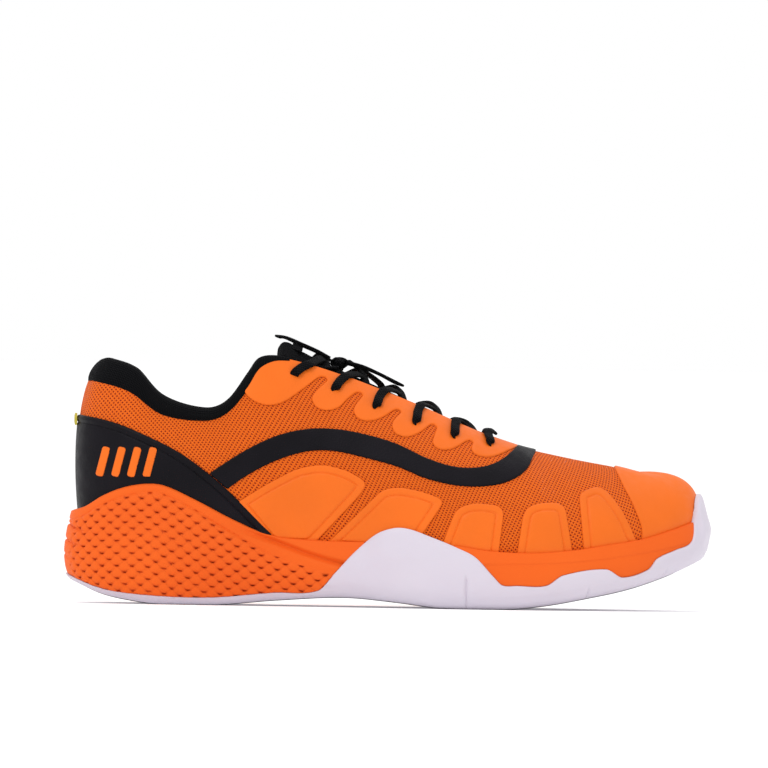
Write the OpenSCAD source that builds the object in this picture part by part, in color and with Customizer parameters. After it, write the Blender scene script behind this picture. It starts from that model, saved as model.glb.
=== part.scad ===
// Court shoe for indoor racket sports, right foot.
// +X points to the toe, +Y to the inner (medial) side, +Z up. The floor is z = 0.
//
// The shoe is lofted round its edge: u runs from -14 at the toe tip, back along the
// outer (lateral) side to 0 at the heel and forward along the inner side to +14 at
// the toe tip. v runs up the upper, from -1 at the board through 0 at the top of
// the sole to 1 at the collar, the throat edge or the ridge of the forefoot.

/* [Sole] */
// Thickness of the outsole under the foot
outsole_floor_t = 2.6; // [2:0.1:4]
// Thickness of the outsole's side wall
outsole_wall_t = 2.2; // [1.6:0.1:2.8]
// How far the outsole's wall stands proud of the midsole
wing_proud = 0.8; // [0.2:0.1:1.5]
// Height of the tread pads below the rest of the outsole
tread_h = 0.3; // [0.2:0.1:1.2]
// Thickness of the insole
insole_t = 4; // [2:0.5:5]
// Thickness of the board that closes the upper
board_t = 1.4; // [0.8:0.1:2]

/* [Upper] */
// Thickness of the knitted mesh
mesh_t = 1.4; // [0.8:0.1:2]
// Thickness of the film overlays
film_t = 0.7; // [0.4:0.1:1.2]
// Thickness of the stiffeners at the heel and the toe
stiffener_t = 1.1; // [0.8:0.1:1.4]
// Thickness of the inner lining
lining_t = 0.8; // [0.5:0.1:1]
// Greatest depth of the collar padding
collar_pad = 5; // [3:0.5:6]

/* [Tongue] */
// Half the width of the tongue at its free end
tongue_half_w = 24; // [18:0.5:26]
// Thickness of the tongue's foam
tongue_foam_t = 3.6; // [2:0.2:5]

/* [Laces] */
// Width of the flat lace
lace_w = 4.2; // [3:0.1:5]
// Thickness of the flat lace
lace_t = 1.6; // [1.2:0.1:2]
// Length of an aglet
aglet_l = 14; // [10:1:20]

/* [Hidden] */

gap = 0.12;          // clearance between pieces that touch
orange = "#eb5f19";
film_orange = "#fc7a1c";
foam_orange = "#ff6919";
black = "#16141c";
pale_rubber = "#e4dceb";

// ---- curves ---------------------------------------------------------------

// Smooth curve through knots [p, a, b, ...], read at p: returns [a, b, ...].
function tail(v) = [for (i = [1:len(v) - 1]) v[i]];
function slope(kn, i) =
    let (a = max(0, i - 1), b = min(len(kn) - 1, i + 1))
    (tail(kn[b]) - tail(kn[a])) / (kn[b][0] - kn[a][0]);
function segment(kn, p, i = 0) =
    (i >= len(kn) - 2 || p < kn[i + 1][0]) ? i : segment(kn, p, i + 1);
function curve(kn, p) =
    let (q = min(max(p, kn[0][0]), kn[len(kn) - 1][0]),
         i = segment(kn, q),
         h = kn[i + 1][0] - kn[i][0],
         t = (q - kn[i][0]) / h,
         a = tail(kn[i]), b = tail(kn[i + 1]),
         ma = slope(kn, i) * h, mb = slope(kn, i + 1) * h)
    a * (2*t*t*t - 3*t*t + 1) + ma * (t*t*t - 2*t*t + t)
    + b * (3*t*t - 2*t*t*t) + mb * (t*t*t - t*t);
function smooth(a, b, x) = let (t = min(max((x - a) / (b - a), 0), 1)) t * t * (3 - 2 * t);
function unit(v) = v / max(norm(v), 1e-9);

// ---- plan outline and height lines ------------------------------------------

// Widest outline of the sole, one point for each whole u, heel to toe: x and y.
LATERAL = [[-146, 0], [-141.5, -18], [-127, -31], [-104, -38], [-78, -40], [-50, -40], [-22, -43],
           [6, -48.5], [33, -52], [60, -50.5], [86, -43.5], [109, -33.5], [129, -19.5], [141.5, -5], [146, 13]];
MEDIAL = [[-146, 0], [-141.5, 18], [-127, 30.5], [-104, 37], [-78, 36], [-50, 31], [-22, 28.5],
          [6, 32], [33, 42], [60, 50.5], [86, 52], [109, 48], [129, 40], [141.5, 28.5], [146, 13]];
LOOP = [for (i = [-15:15])
    let (n = abs(i) > 14 ? 28 - abs(i) : abs(i),
         row = (i < 0) != (abs(i) > 14) ? LATERAL[n] : MEDIAL[n])
    concat([i], row)];

// Bottom of the outsole over x: flat under the heel and the ball of the foot.
GROUND = [[-146, 9], [-131, 4], [-114, 1], [-104, 0], [-76, 0], [-50, 2.4], [-20, 4.2], [4, 2.4],
          [22, 0.3], [30, 0], [56, 0], [75, 1.9], [93, 5.2], [114, 9.8], [132, 15.8], [146, 21.8]];
// Top edge of the midsole over x, where the upper starts.
FEATHER = [[-146, 42], [-139, 44], [-130, 49], [-119, 53], [-108, 54.6], [-100, 53.6], [-86, 47.5],
           [-70, 39.5], [-53, 32.5], [-36, 30.5], [-8, 29.7], [29, 29], [46, 26.8], [65, 26],
           [86, 27.4], [104, 30.4], [119, 33], [132, 37], [146, 42]];
// Underside of the board over x.
BOARD = [[-146, 21], [-110, 19.5], [-80, 18.5], [-50, 17], [-20, 15.5], [20, 12.5], [60, 11.5],
         [90, 14.5], [114, 20], [132, 27], [146, 34]];
// Top of the outsole's side wall over u, with the wing on the lateral side and the toe bumper.
WALL_LATERAL = [[0, 13.5], [1, 11], [2, 6.2], [3, 3.9], [4, 3.6], [5, 6.2], [5.7, 7.4], [6, 16],
                [6.3, 25.5], [6.6, 33], [6.9, 36.2], [7.15, 36], [7.5, 32.8], [8, 27.6],
                [8.3, 23.5], [8.6, 15], [8.75, 11.2], [9, 11], [9.5, 11.2], [9.8, 16],
                [10.6, 19], [10.95, 15.4], [11.5, 19], [11.7, 24], [12.2, 28], [12.6, 31.5],
                [12.9, 39], [13.15, 48], [13.45, 52], [14, 53.5]];
WALL_MEDIAL = [[0, 13.5], [1, 11], [2, 6.2], [3, 3.9], [4, 3.6], [5, 6.2], [6, 7.6], [7, 8.4],
               [7.6, 14], [8, 20], [8.5, 23], [9.2, 21], [9.8, 16], [10.6, 19], [11.3, 18],
               [12, 25], [12.6, 31.5], [12.9, 39], [13.15, 48], [13.45, 52], [14, 53.5]];
function ground(x) = max(0, curve(GROUND, x)[0]);
function feather(x) = curve(FEATHER, x)[0];
function board(x) = curve(BOARD, x)[0];
function wall_top(u) = u < 0 ? curve(WALL_LATERAL, -u)[0] : curve(WALL_MEDIAL, u)[0];

function wrap(u) = u > 14 ? u - 28 : (u < -14 ? u + 28 : u);
function outline(u) = curve(LOOP, wrap(u));
// Outward direction in plan.
function outward(u) =
    let (a = outline(u - 0.06), b = outline(u + 0.06), t = unit(b - a))
    [-t[1], t[0], 0];
function inset(u, d, z) = let (p = outline(u)) [p[0], p[1], z] - outward(u) * d;
// How far the foot of the upper lies inside the sole's outline.
function foot_inset(u) = 4.6 + 2.4 * smooth(3, 0, abs(u));

// ---- the upper --------------------------------------------------------------

// Top line over |u|: x, half-gap, z of the lateral side. Past 10 it is the ridge, where y is the value.
TOP_LINE = [[0, -130.5, 0, 109], [1, -127.5, 12.5, 108.8], [2, -114.5, 20.5, 104], [3, -101.5, 26, 91.5],
            [4, -83, 29.5, 86.2], [4.6, -73, 29.5, 89.5], [5.2, -63.5, 27, 101.3], [5.6, -57.5, 23.5, 109.2],
            [6, -48, 19, 112], [7, -20, 14.8, 104.3], [8, 11, 13.5, 92.6], [9, 41, 11.5, 80],
            [9.6, 57, 8, 73.4], [10, 65, 0, 70.8], [11, 86, -3, 66.4], [12, 103, -6, 63.8],
            [13, 112, -8, 62.4], [14, 115, -9, 62.4]];
// Side profile over |u|: bulge and rise of the lower handle, pull and drop of the upper one.
PROFILE = [[0, 2, 18, 12, 10], [2, 3, 15, 7, 12], [3, 3, 10, 4, 11], [4, 3, 12, 4, 12], [5, 3, 20, 6, 18],
           [6, 3, 22, 10, 16], [7, 2.5, 20, 15, 12], [8, 2.5, 16, 19, 9], [9, 2.5, 13, 22, 5],
           [10, 2, 13, 24, 1.5], [11, 1.5, 12, 21, 0.6], [12, 1.5, 11, 17, 0.2], [13, 1.5, 12, 17.5, -0.3],
           [14, 1.8, 14, 20, -1.4]];
function top_point(u) =
    let (s = u < 0 ? -1 : 1, p = curve(TOP_LINE, abs(u)))
    abs(u) >= 10 ? [p[0], -p[1], p[2]] : [p[0], s * p[1], p[2]];
// Control points of one column of the upper: board, foot, two handles, top.
function column(w) =
    let (u = wrap(w), out = outward(u), x = outline(u)[0], k = curve(PROFILE, abs(u)),
         foot = inset(u, foot_inset(u), feather(x)),
         top = top_point(u))
    [inset(u, foot_inset(u) + 3.2, board(x) + gap), foot,
     foot + out * k[0] + [0, 0, k[1]], top + out * k[2] - [0, 0, k[3]], top];
function along(c, v) = v < 0
    ? c[1] * (1 + v) - c[0] * v
    : c[1] * pow(1 - v, 3) + c[2] * 3 * v * pow(1 - v, 2) + c[3] * 3 * v * v * (1 - v) + c[4] * pow(v, 3);

// Grid that every layer of the upper shares, so that thin layers stay parallel.
columns_n = 84;
ROWS = [-1, -0.45, 0, 0.12, 0.24, 0.36, 0.48, 0.6, 0.7, 0.8, 0.9, 1];
rows_n = len(ROWS);
top_row = rows_n - 1;
function u_at(k) = k * 28 / columns_n - 14;
function row_normal(a, b, c, v) =
    let (w = min(max(v, 0.03), 0.97), e = 0.02)
    unit(cross(along(c, w + e) - along(c, w - e), along(b, w) - along(a, w)));
// Where the collar is padded.
function padding(u, v) = smooth(0.42, 0.72, v) * smooth(6, 5.2, abs(u));
GRID = [for (k = [0:columns_n - 1])
    let (u = u_at(k), a = column(u - 0.05), c = column(u), b = column(u + 0.05))
    [for (v = ROWS)
        let (n = v < 0 ? outward(u) : row_normal(a, b, c, v))
        [along(c, v), n, padding(u, v)]]];
// The ridge's two sides share their points.
function shared(k, j) = let (m = k % columns_n)
    (j == top_row && abs(u_at(m)) > 9.9 && m > columns_n / 2) ? columns_n - m : m;
function skin(k, j, d, pad) = let (g = GRID[shared(k, j)][j]) g[0] + g[1] * (d - pad * g[2]);
function is_ridge(k, j) = j == top_row && abs(u_at(k % columns_n)) > 9.9;

// One layer of the upper between depths d0 and d1 off the outer skin, columns k0 to k1, rows j0 to j1.
module layer(k0, k1, j0, j1, d0, d1, pad0 = 0, pad1 = 0) {
    full = k1 - k0 >= columns_n;
    count = columns_n * rows_n;
    points = concat(
        [for (k = [0:columns_n - 1], j = [0:rows_n - 1]) skin(k, j, d0, pad0)],
        [for (k = [0:columns_n - 1], j = [0:rows_n - 1]) skin(k, j, d1, pad1)]);
    function at(k, j, side) = side * count + shared(k, j) * rows_n + j;
    outer = [for (k = [k0:k1 - 1], j = [j0:j1 - 1])
        each [[at(k, j, 1), at(k + 1, j, 1), at(k + 1, j + 1, 1)],
              [at(k, j, 1), at(k + 1, j + 1, 1), at(k, j + 1, 1)]]];
    inner = [for (k = [k0:k1 - 1], j = [j0:j1 - 1])
        each [[at(k, j, 0), at(k + 1, j + 1, 0), at(k + 1, j, 0)],
              [at(k, j, 0), at(k, j + 1, 0), at(k + 1, j + 1, 0)]]];
    low = [for (k = [k0:k1 - 1])
        each [[at(k, j0, 0), at(k + 1, j0, 0), at(k + 1, j0, 1)],
              [at(k, j0, 0), at(k + 1, j0, 1), at(k, j0, 1)]]];
    high = [for (k = [k0:k1 - 1]) if (!(is_ridge(k, j1) && is_ridge(k + 1, j1)))
        each [[at(k, j1, 1), at(k + 1, j1, 1), at(k + 1, j1, 0)],
              [at(k, j1, 1), at(k + 1, j1, 0), at(k, j1, 0)]]];
    ends = full ? [] : [for (j = [j0:j1 - 1])
        each [[at(k0, j, 0), at(k0, j, 1), at(k0, j + 1, 1)],
              [at(k0, j, 0), at(k0, j + 1, 1), at(k0, j + 1, 0)],
              [at(k1, j, 1), at(k1, j, 0), at(k1, j + 1, 0)],
              [at(k1, j, 1), at(k1, j + 1, 0), at(k1, j + 1, 1)]]];
    polyhedron(points, concat(outer, inner, low, high, ends), convexity = 8);
}

// A solid from closed rings of points, one for each column, with caps across its first and last ring.
// With turned set, the other diagonal splits each quad, to match a neighbour built the other way round.
module rings(stack, turned = false) {
    n = columns_n;
    last = (len(stack) - 1) * n;
    function across(k) = (n - k) % n;
    function keep(f) = f[0] != f[1] && f[1] != f[2] && f[2] != f[0];
    side = [for (r = [0:len(stack) - 2], k = [0:n - 1]) let (a = r * n, b = a + n, m = (k + 1) % n)
        each turned ? [[a + k, a + m, b + k], [a + m, b + m, b + k]]
                    : [[a + k, a + m, b + m], [a + k, b + m, b + k]]];
    first_cap = [for (k = [0:n / 2 - 1])
        each [[k + 1, k, across(k)], [k + 1, across(k), across(k + 1)]]];
    last_cap = [for (k = [0:n / 2 - 1])
        each [[last + k, last + k + 1, last + across(k + 1)],
              [last + k, last + across(k + 1), last + across(k)]]];
    faces = [for (f = concat(side, first_cap, last_cap)) if (keep(f)) f];
    polyhedron([for (r = stack) each r], faces, convexity = 8);
}
function ring(f) = [for (k = [0:columns_n - 1]) f(u_at(k))];

// ---- the sole ---------------------------------------------------------------

// Inset of the sole's wall over its height, from 0 at the floor to 1 at the top edge.
WALL_INSET = [[0, 6.5], [0.05, 3.6], [0.14, 1.6], [0.32, 0.2], [0.5, 0], [0.75, 0.9], [1, 2.6]];
function wall_point(u, h, d) =
    let (x = outline(u)[0], z0 = ground(x) + tread_h, z1 = feather(x),
         more = 0.8 * smooth(2.4, 0, abs(u)) * h)
    inset(u, curve(WALL_INSET, h)[0] + more + d, z0 + h * (z1 - z0));
// Height fraction at which the wall passes height z.
function fraction(u, z) =
    let (x = outline(u)[0], z0 = ground(x) + tread_h) (z - z0) / (feather(x) - z0);
function parting(u) = fraction(u, wall_top(u));
// Above the top edge the toe bumper follows the upper.
function bumper_point(u, z, d) =
    let (h = parting(u), x = outline(u)[0], z0 = ground(x) + tread_h)
    h <= 1 ? wall_point(u, min(z, 1), d) : inset(u, 1.2 + 2.4 * (z - 1) + d, z0 + z * (feather(x) - z0));
function floor_z(u) = ground(outline(u)[0]) + tread_h + outsole_floor_t;

// Height fraction of the ring half way up the side wall, shared by the outsole and the midsole.
function middle(u) = min(0.6 * parting(u), 0.55);

module outsole_shell() {
    inner_d = outsole_wall_t - wing_proud;
    rings([
        ring(function(u) inset(u, 9, ground(outline(u)[0]) + tread_h)),
        ring(function(u) bumper_point(u, 0.25 * parting(u), -wing_proud)),
        ring(function(u) bumper_point(u, 0.6 * parting(u), -wing_proud)),
        ring(function(u) bumper_point(u, parting(u), -wing_proud)),
        ring(function(u) bumper_point(u, parting(u), inner_d)),
        ring(function(u) let (p = bumper_point(u, middle(u), inner_d))
            [p[0], p[1], max(p[2], floor_z(u) + 0.05)]),
        ring(function(u) inset(u, 10, floor_z(u)))
    ]);
}
// Flat pads that the shoe stands on.
module tread_pad(x0, x1, y0, y1, r) {
    linear_extrude(height = tread_h + 0.9)
        polygon([for (c = [[x0 + r, y0 + r, 180], [x1 - r, y0 + r, 270],
                           [x1 - r, y1 - r, 0], [x0 + r, y1 - r, 90]], a = [0:30:90])
            [c[0] + r * cos(c[2] + a), c[1] + r * sin(c[2] + a)]]);
}
module outsole() color(pale_rubber) {
    outsole_shell();
    tread_pad(-110, -78, -22, 20, 8);
    tread_pad(24, 56, -34, 26, 8);
}

function low(u) = min(parting(u), 0.98);
// Next to a wall that reaches the top edge the midsole stays behind it.
function is_covered(u) = max(parting(u - 28 / columns_n), parting(u), parting(u + 28 / columns_n)) >= 0.98;
module midsole() color(foam_orange) {
    side = outsole_wall_t - wing_proud + 2 * gap;
    difference() {
        rings([
            ring(function(u) inset(u, 10.5, floor_z(u) + gap)),
            ring(function(u) let (p = wall_point(u, middle(u), side + 0.3))
                [p[0], p[1], max(p[2], floor_z(u) + gap + 0.1)]),
            ring(function(u) wall_point(u, low(u), side) + [0, 0, gap]),
            ring(function(u) wall_point(u, low(u), is_covered(u) ? side : 0) + [0, 0, 2 * gap]),
            ring(function(u) wall_point(u, 0.5 + 0.5 * low(u), is_covered(u) ? side : 0) + [0, 0, gap]),
            ring(function(u) wall_point(u, 1, is_covered(u) ? side : 0) - [0, 0, 2 * gap]),
            ring(function(u) inset(u, foot_inset(u) - gap, feather(outline(u)[0]) - 4 * gap)),
            ring(function(u) inset(u, foot_inset(u) + 0.45 * 3.2 - gap,
                feather(outline(u)[0]) * 0.55 + board(outline(u)[0]) * 0.45)),
            ring(function(u) inset(u, foot_inset(u) + 3.2 - gap, board(outline(u)[0]) - board_t))
        ], turned = true);
        shank_space(gap);
    }
}
// The shank lies in a pocket in the underside of the midsole, under the arch.
module shank_space(d) {
    translate([-28, -6, 9.4])
        rotate([0, -0.4, 0])
            linear_extrude(height = 2 + 2 * d, center = true)
                polygon([for (c = [[-30, -9, 180], [30, -9, 270], [30, 9, 0], [-30, 9, 90]], a = [0:30:90])
                    [c[0] + (4 + d) * cos(c[2] + a), c[1] + (4 + d) * sin(c[2] + a)]]);
}
module torsion_shank() color(black) shank_space(0);

// A sheet that lies in the bottom of the upper, d inside the outline and from z0 to z1 above the board line.
function sheet_point(u, d, z) = inset(u, foot_inset(u) + 3.2 + d, board(outline(u)[0]) + z);
module bottom_sheet(d, z0, z1) {
    rings([ring(function(u) sheet_point(u, d, z0)), ring(function(u) sheet_point(u, d, z1))]);
}
module strobel_board() color("#d8d2c4") bottom_sheet(mesh_t + gap, gap - board_t + 0.1, 0);
module insole() color("#2b2a33") bottom_sheet(mesh_t + lining_t + 0.9, gap, insole_t);

// ---- the upper's layers -----------------------------------------------------

heel_k = columns_n / 2;
lining_d = mesh_t + stiffener_t + 2 * gap;
module upper_mesh() color(orange) layer(0, columns_n, 0, top_row, -mesh_t, 0);
module inner_lining() color(black)
    layer(0, columns_n, 0, 9, -lining_d - lining_t, -lining_d, collar_pad, collar_pad);
module heel_counter() color("#c9c4ba")
    layer(heel_k - 9, heel_k + 9, 2, 6, -mesh_t - gap - stiffener_t, -mesh_t - gap);
module toe_puff() color("#c9c4ba")
    layer(columns_n - 8, columns_n + 8, 2, 9, -mesh_t - gap - stiffener_t, -mesh_t - gap);
module collar_foam() color("#8a8a90") {
    back = mesh_t + gap;
    layer(heel_k - 15, heel_k + 15, 8, top_row, -lining_d + gap, -back, collar_pad, 0);
}
// Knit that rolls over the collar: outside the mesh, over the foam and down the inside.
collar_k = 16;
module collar_lining() color(black) {
    layer(heel_k - collar_k, heel_k + collar_k, 10, top_row, gap, gap + lining_t);
    collar_roll();
}
function roll_point(k, a, r) =
    let (g = GRID[k][top_row], up = unit(g[0] - GRID[k][top_row - 1][0]),
         w = (lining_d + collar_pad * g[2]) / 2)
    g[0] - g[1] * (w - lining_t / 2) + g[1] * (w + lining_t + gap + r) * cos(a)
        + up * (0.3 + (1.2 + r + 1.6 * g[2]) * sin(a));
module collar_roll() {
    steps = 6;
    count = 2 * (steps + 1);
    k0 = heel_k - collar_k;
    n = 2 * collar_k;
    points = [for (k = [k0 + n:-1:k0]) each concat(
        [for (i = [0:steps]) roll_point(k, 180 * i / steps, 0)],
        [for (i = [steps:-1:0]) roll_point(k, 180 * i / steps, -lining_t)])];
    tube(points, count, n + 1);
}
// A closed tube: rings of points one after another, with flat ends.
module tube(points, sides, count) {
    faces = concat(
        [for (r = [0:count - 2], i = [0:sides - 1]) let (a = r * sides, b = a + sides, j = (i + 1) % sides)
            each [[a + i, a + j, b + j], [a + i, b + j, b + i]]],
        [for (i = [1:sides - 2]) [0, i + 1, i]],
        [for (i = [1:sides - 2]) let (e = (count - 1) * sides) [e, e + i, e + i + 1]]);
    polyhedron(points, faces, convexity = 8);
}

// ---- overlays, cut from one film layer by their side-view outlines ------------

film_d0 = gap;
film_d1 = gap + film_t;
// Keeps a cut film as one mesh.
module as_mesh() {
    resize([0, 0, 0])
        children();
}
// Prism through the shoe with a side-view outline, on the lateral (-1) or medial (1) side or both (0).
module side_cut(outline_xz, side, r = 2) {
    y = side == 0 ? 0 : side * 40;
    translate([0, y, 0])
        rotate([90, 0, 0])
            linear_extrude(height = side == 0 ? 160 : 80, center = true)
                offset(r = r, $fn = 16)
                    offset(delta = -r)
                        polygon(outline_xz);
}
function lateral_k(u) = round((14 - u) * columns_n / 28);
// A patch of the film between |u| = u0 and u1 on one side.
module film(side, u0, u1, j0, j1) {
    k0 = side < 0 ? lateral_k(u1) : columns_n - lateral_k(u0);
    k1 = side < 0 ? lateral_k(u0) : columns_n - lateral_k(u1);
    layer(k0, k1, j0, j1, film_d0, film_d1);
}
// Side panels from the waist to the toe: outline and the range of u that it lies in.
PANELS = [
    [[[-47.5, 31], [-63.5, 47], [-38.5, 62.6], [-20, 62.5], [-9.3, 56], [-33, 31]], 4, 7],
    [[[-26, 30], [-1, 54], [14, 53.5], [26, 49], [16, 30]], 5.6, 8],
    [[[25, 28], [33, 47], [38, 48.5], [53.5, 45.5], [51, 27]], 7.6, 9],
    [[[59.5, 26], [63, 46], [68, 48.7], [81, 47], [85, 27]], 8.6, 10.4],
    [[[90, 27], [87.5, 52], [97, 56], [112, 38.5], [114, 30]], 9.6, 11.6]
];
module side_panels(side) {
    for (p = PANELS)
        as_mesh()
            intersection() {
                film(side, p[1], p[2], 2, 9);
                side_cut(p[0], side);
            }
}
module side_panels_lateral() color(film_orange) side_panels(-1);
module side_panels_medial() color(film_orange) side_panels(1);

TOE_CAP = [[106, 64], [107.5, 56], [115.8, 39], [115.8, 31], [150, 31], [150, 64]];
module toe_cap() color(film_orange)
    as_mesh()
        intersection() {
            layer(columns_n - 13, columns_n + 13, 2, top_row, film_d0, film_d1);
            side_cut(TOE_CAP, 0);
        }

// Lower edge of the eyestay: a lobe round each lace hole and a slot up between each two.
EYESTAY = [[-62, 122], [-59, 104], [-52, 91], [-44, 93], [-28, 103], [-26, 100], [-32, 91], [-24, 88],
           [-11, 96], [-9, 93], [-13, 85], [-4, 82], [6, 88], [4, 79], [11, 76], [22, 82],
           [20, 73.5], [29, 71], [39, 75], [39, 69.5], [47, 67.6], [53.5, 70.6], [57, 74.6],
           [57, 84], [-40, 122]];
module eyestay(side) {
    as_mesh()
        intersection() {
            film(side, 5, 9.7, 7, top_row);
            side_cut(EYESTAY, side, 1);
        }
}
module eyestay_lateral() color(film_orange) eyestay(-1);
module eyestay_medial() color(film_orange) eyestay(1);

SIDE_BAND = [[-79, 59.4], [-65, 69.5], [-50, 77], [-35, 80.5], [-20, 80], [6, 73.6], [16, 68.3], [31, 63.6],
             [44, 63.8], [53, 67], [60, 74], [68, 74], [64, 63], [55, 57.3], [44, 55.5], [31, 55.8], [16, 59.5],
             [6, 64], [-11, 68], [-25, 70.8], [-35, 70.4], [-50, 66], [-63, 59], [-71, 53.5]];
module side_band() color(black) {
    reach = 33;
    as_mesh()
        intersection() {
            layer(columns_n - reach, columns_n + reach, 3, top_row, film_d0, film_d1);
            side_cut(SIDE_BAND, 0, 0.5);
        }
}

HEEL_OVERLAY = [[-150, 30], [-150, 85], [-138, 85], [-123, 82], [-109, 76], [-93, 69], [-81, 60.2],
                [-70, 50.6], [-51, 31.5], [-60, 30]];
module heel_overlay() color(black)
    as_mesh()
        intersection() {
            layer(heel_k - 17, heel_k + 17, 2, 9, film_d0, film_d1);
            side_cut(HEEL_OVERLAY, 0, 0.5);
        }
// Plain raised bars on the heel overlay, in place of lettering.
BADGE_X = [-129, -122, -115, -108];
badge_t = 0.5;
module heel_badge() color(film_orange)
    for (side = [-1, 1], x = BADGE_X)
        as_mesh()
            intersection() {
                let (k0 = side < 0 ? heel_k - 9 : heel_k + 2)
                    layer(k0, k0 + 7, 3, 8, film_d1 + gap, film_d1 + gap + badge_t);
                side_cut([[x - 2, 58], [x + 1, 71], [x + 4.5, 70], [x + 1.5, 57]], side, 0.8);
            }
tag_t = 0.9;
module heel_tag() color("#e6d24a")
    let (back = skin(heel_k, 7, film_d1 + gap + tag_t / 2, 0))
        translate([back[0], 0, back[2]])
            rotate([0, 8, 0])
                cube([tag_t, 7, 5], center = true);

// ---- the tongue -------------------------------------------------------------

// Centre line of the tongue's face from its root to its free end, at 0 to 1: x, z, half-width, crown.
TONGUE = [[0, 56, 66.5, 11, 2.5], [0.12, 45, 74.5, 13.5, 5], [0.3, 24, 84.2, 15.5, 8], [0.5, 0, 95, 16.5, 10.5],
          [0.7, -22, 103.6, 17, 12.5], [0.86, -38, 111.3, 17, 11.5], [0.95, -45, 117.6, 16, 10],
          [1, -48, 120.6, 14, 8]];
tongue_rows = 14;
tongue_cols = 8;
function tongue_point(a, b, d) =
    let (c = curve(TONGUE, a), e = unit(curve(TONGUE, min(a + 0.02, 1)) - curve(TONGUE, max(a - 0.02, 0))),
         w = c[2] * tongue_half_w / 24, fall = c[3] * pow(abs(b), 1.7),
         lean = unit([0, b * 0.75 * c[3] / c[2], 1]),
         up = unit([e[1], 0, -e[0]]))
    [c[0], b * w, c[1] - fall] + d * unit([up[0], lean[1], up[2]]);
module tongue_sheet(d0, d1, w) {
    n = tongue_cols;
    points = [for (r = [tongue_rows:-1:0]) each concat(
        [for (c = [0:n]) tongue_point(r / tongue_rows, w * (2 * c / n - 1), d1)],
        [for (c = [n:-1:0]) tongue_point(r / tongue_rows, w * (2 * c / n - 1), d0)])];
    tube(points, 2 * (n + 1), tongue_rows + 1);
}
cover_t = 0.7;
module tongue_face() color(black) tongue_sheet(-cover_t, 0, 1);
module tongue_foam() color("#8a8a90") tongue_sheet(-cover_t - gap - tongue_foam_t, -cover_t - gap, 0.96);
module tongue_lining() color(black)
    tongue_sheet(-2 * cover_t - 2 * gap - tongue_foam_t, -cover_t - 2 * gap - tongue_foam_t, 1);
module tongue_lace_keeper() color(black) {
    lift = 0.5;
    a0 = 0.885;
    a1 = 0.925;
    points = [for (b = [-0.3, -0.1, 0.1, 0.3]) each
        [tongue_point(a0, b, lift + 0.8), tongue_point(a1, b, lift + 0.8),
         tongue_point(a1, b, lift), tongue_point(a0, b, lift)]];
    tube(points, 4, 4);
}

// ---- laces ------------------------------------------------------------------

// Six lace holes on each side, top to bottom, at these u and one v.
HOLES_U = [6.2, 6.85, 7.45, 8, 8.55, 9.1];
hole_v = 0.89;
function upper_at(side, u, v, d) =
    let (w = side * u, a = column(w - 0.05), c = column(w), b = column(w + 0.05))
    along(c, v) + row_normal(a, b, c, v) * d;
function normal_at(side, u) =
    let (w = side * u, a = column(w - 0.05), c = column(w), b = column(w + 0.05)) row_normal(a, b, c, 0.95);
knot = [-22, 0, 110.2];
// Height of the tongue's face at the middle of the throat.
function tongue_z(x) = lookup(x, [for (r = TONGUE) [r[1], r[2]]]);
over = film_d1 + lace_t / 2 + gap + 0.1;
under = -(mesh_t + lace_t / 2 + 0.35);
lean = 0.34;         // how far forward each leg leans on its way to the throat, in u
// From hole i on one side forward over the tongue to the next hole down on the other side: [point, up].
function crossing(i, side) =
    let (ua = HOLES_U[i], ub = HOLES_U[i + 1], na = normal_at(side, ua), nb = normal_at(-side, ub),
         rise = (side < 0 ? 2.6 : 4.7) - (i == 0 ? 0.9 : 0),
         a = upper_at(side, ua + lean, 1, over), b = upper_at(-side, ub - 0.1, 1, under),
         x = (a[0] + b[0]) / 2)
    [[upper_at(side, ua, hole_v, over), na],
     [upper_at(side, ua + lean / 2, 0.95, over), na],
     [a, unit(na + [0, 0, 1])],
     [[x, (a[1] + b[1]) / 2, tongue_z(x) + rise], unit([0.35, 0, 1])],
     [b + [0, 0, 0.4], unit(nb + [0, 0, 0.6])],
     [upper_at(-side, ub - 0.04, 0.95, under), nb],
     [upper_at(-side, ub, hole_v, under), nb]];
function half_lace(side) = [for (i = [0:4]) each crossing(i, side * (i % 2 == 0 ? 1 : -1))];
// From the knot down into the throat and out through the top hole.
function top_leg(side) =
    let (u = HOLES_U[0], n = normal_at(side, u))
    [[knot + [-1, side * 4.6, -1.8], [0, 0, 1]],
     [upper_at(side, u + 0.12, 1, under) + [0, 0, 0.4], unit(n + [0, 0, 0.6])],
     [upper_at(side, u + 0.03, 0.95, under), n],
     [upper_at(side, u, hole_v, under), n]];
// The bottom bar from the lowest hole on one side.
function bar_leg(side) =
    let (u = HOLES_U[5], n = normal_at(side, u))
    [[upper_at(side, u, hole_v, over), n],
     [upper_at(side, u + lean / 3, 0.96, over), unit(n + [0, 0, 0.4])]];
function reversed(v) = [for (i = [len(v) - 1:-1:0]) v[i]];
function whole_side(side) = concat(top_leg(side), half_lace(side), bar_leg(-side));
LACE_PATH = concat(whole_side(1), reversed(whole_side(-1)));
// A flat strap swept along points, each with its own up direction.
module strap(path, w, t, sides = 8) {
    n = len(path);
    points = [for (i = [0:n - 1])
        let (d = unit(path[min(i + 1, n - 1)][0] - path[max(i - 1, 0)][0]),
             s = unit(cross(d, path[i][1])), up = cross(s, d))
        each [for (k = [0:sides - 1]) let (a = 360 * (k + 0.5) / sides)
            path[i][0] + s * (w / 2) * cos(a) + up * (t / 2) * sin(a)]];
    tube(points, sides, n);
}
module lace() color(black) strap(LACE_PATH, lace_w, lace_t);

module lace_knot() color(black)
    translate(knot)
        rotate([90, 0, 0])
            rotate_extrude($fn = 24)
                polygon([for (a = [-90:15:90]) [3.6 * cos(a), 5.2 * sin(a)]]);
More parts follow.
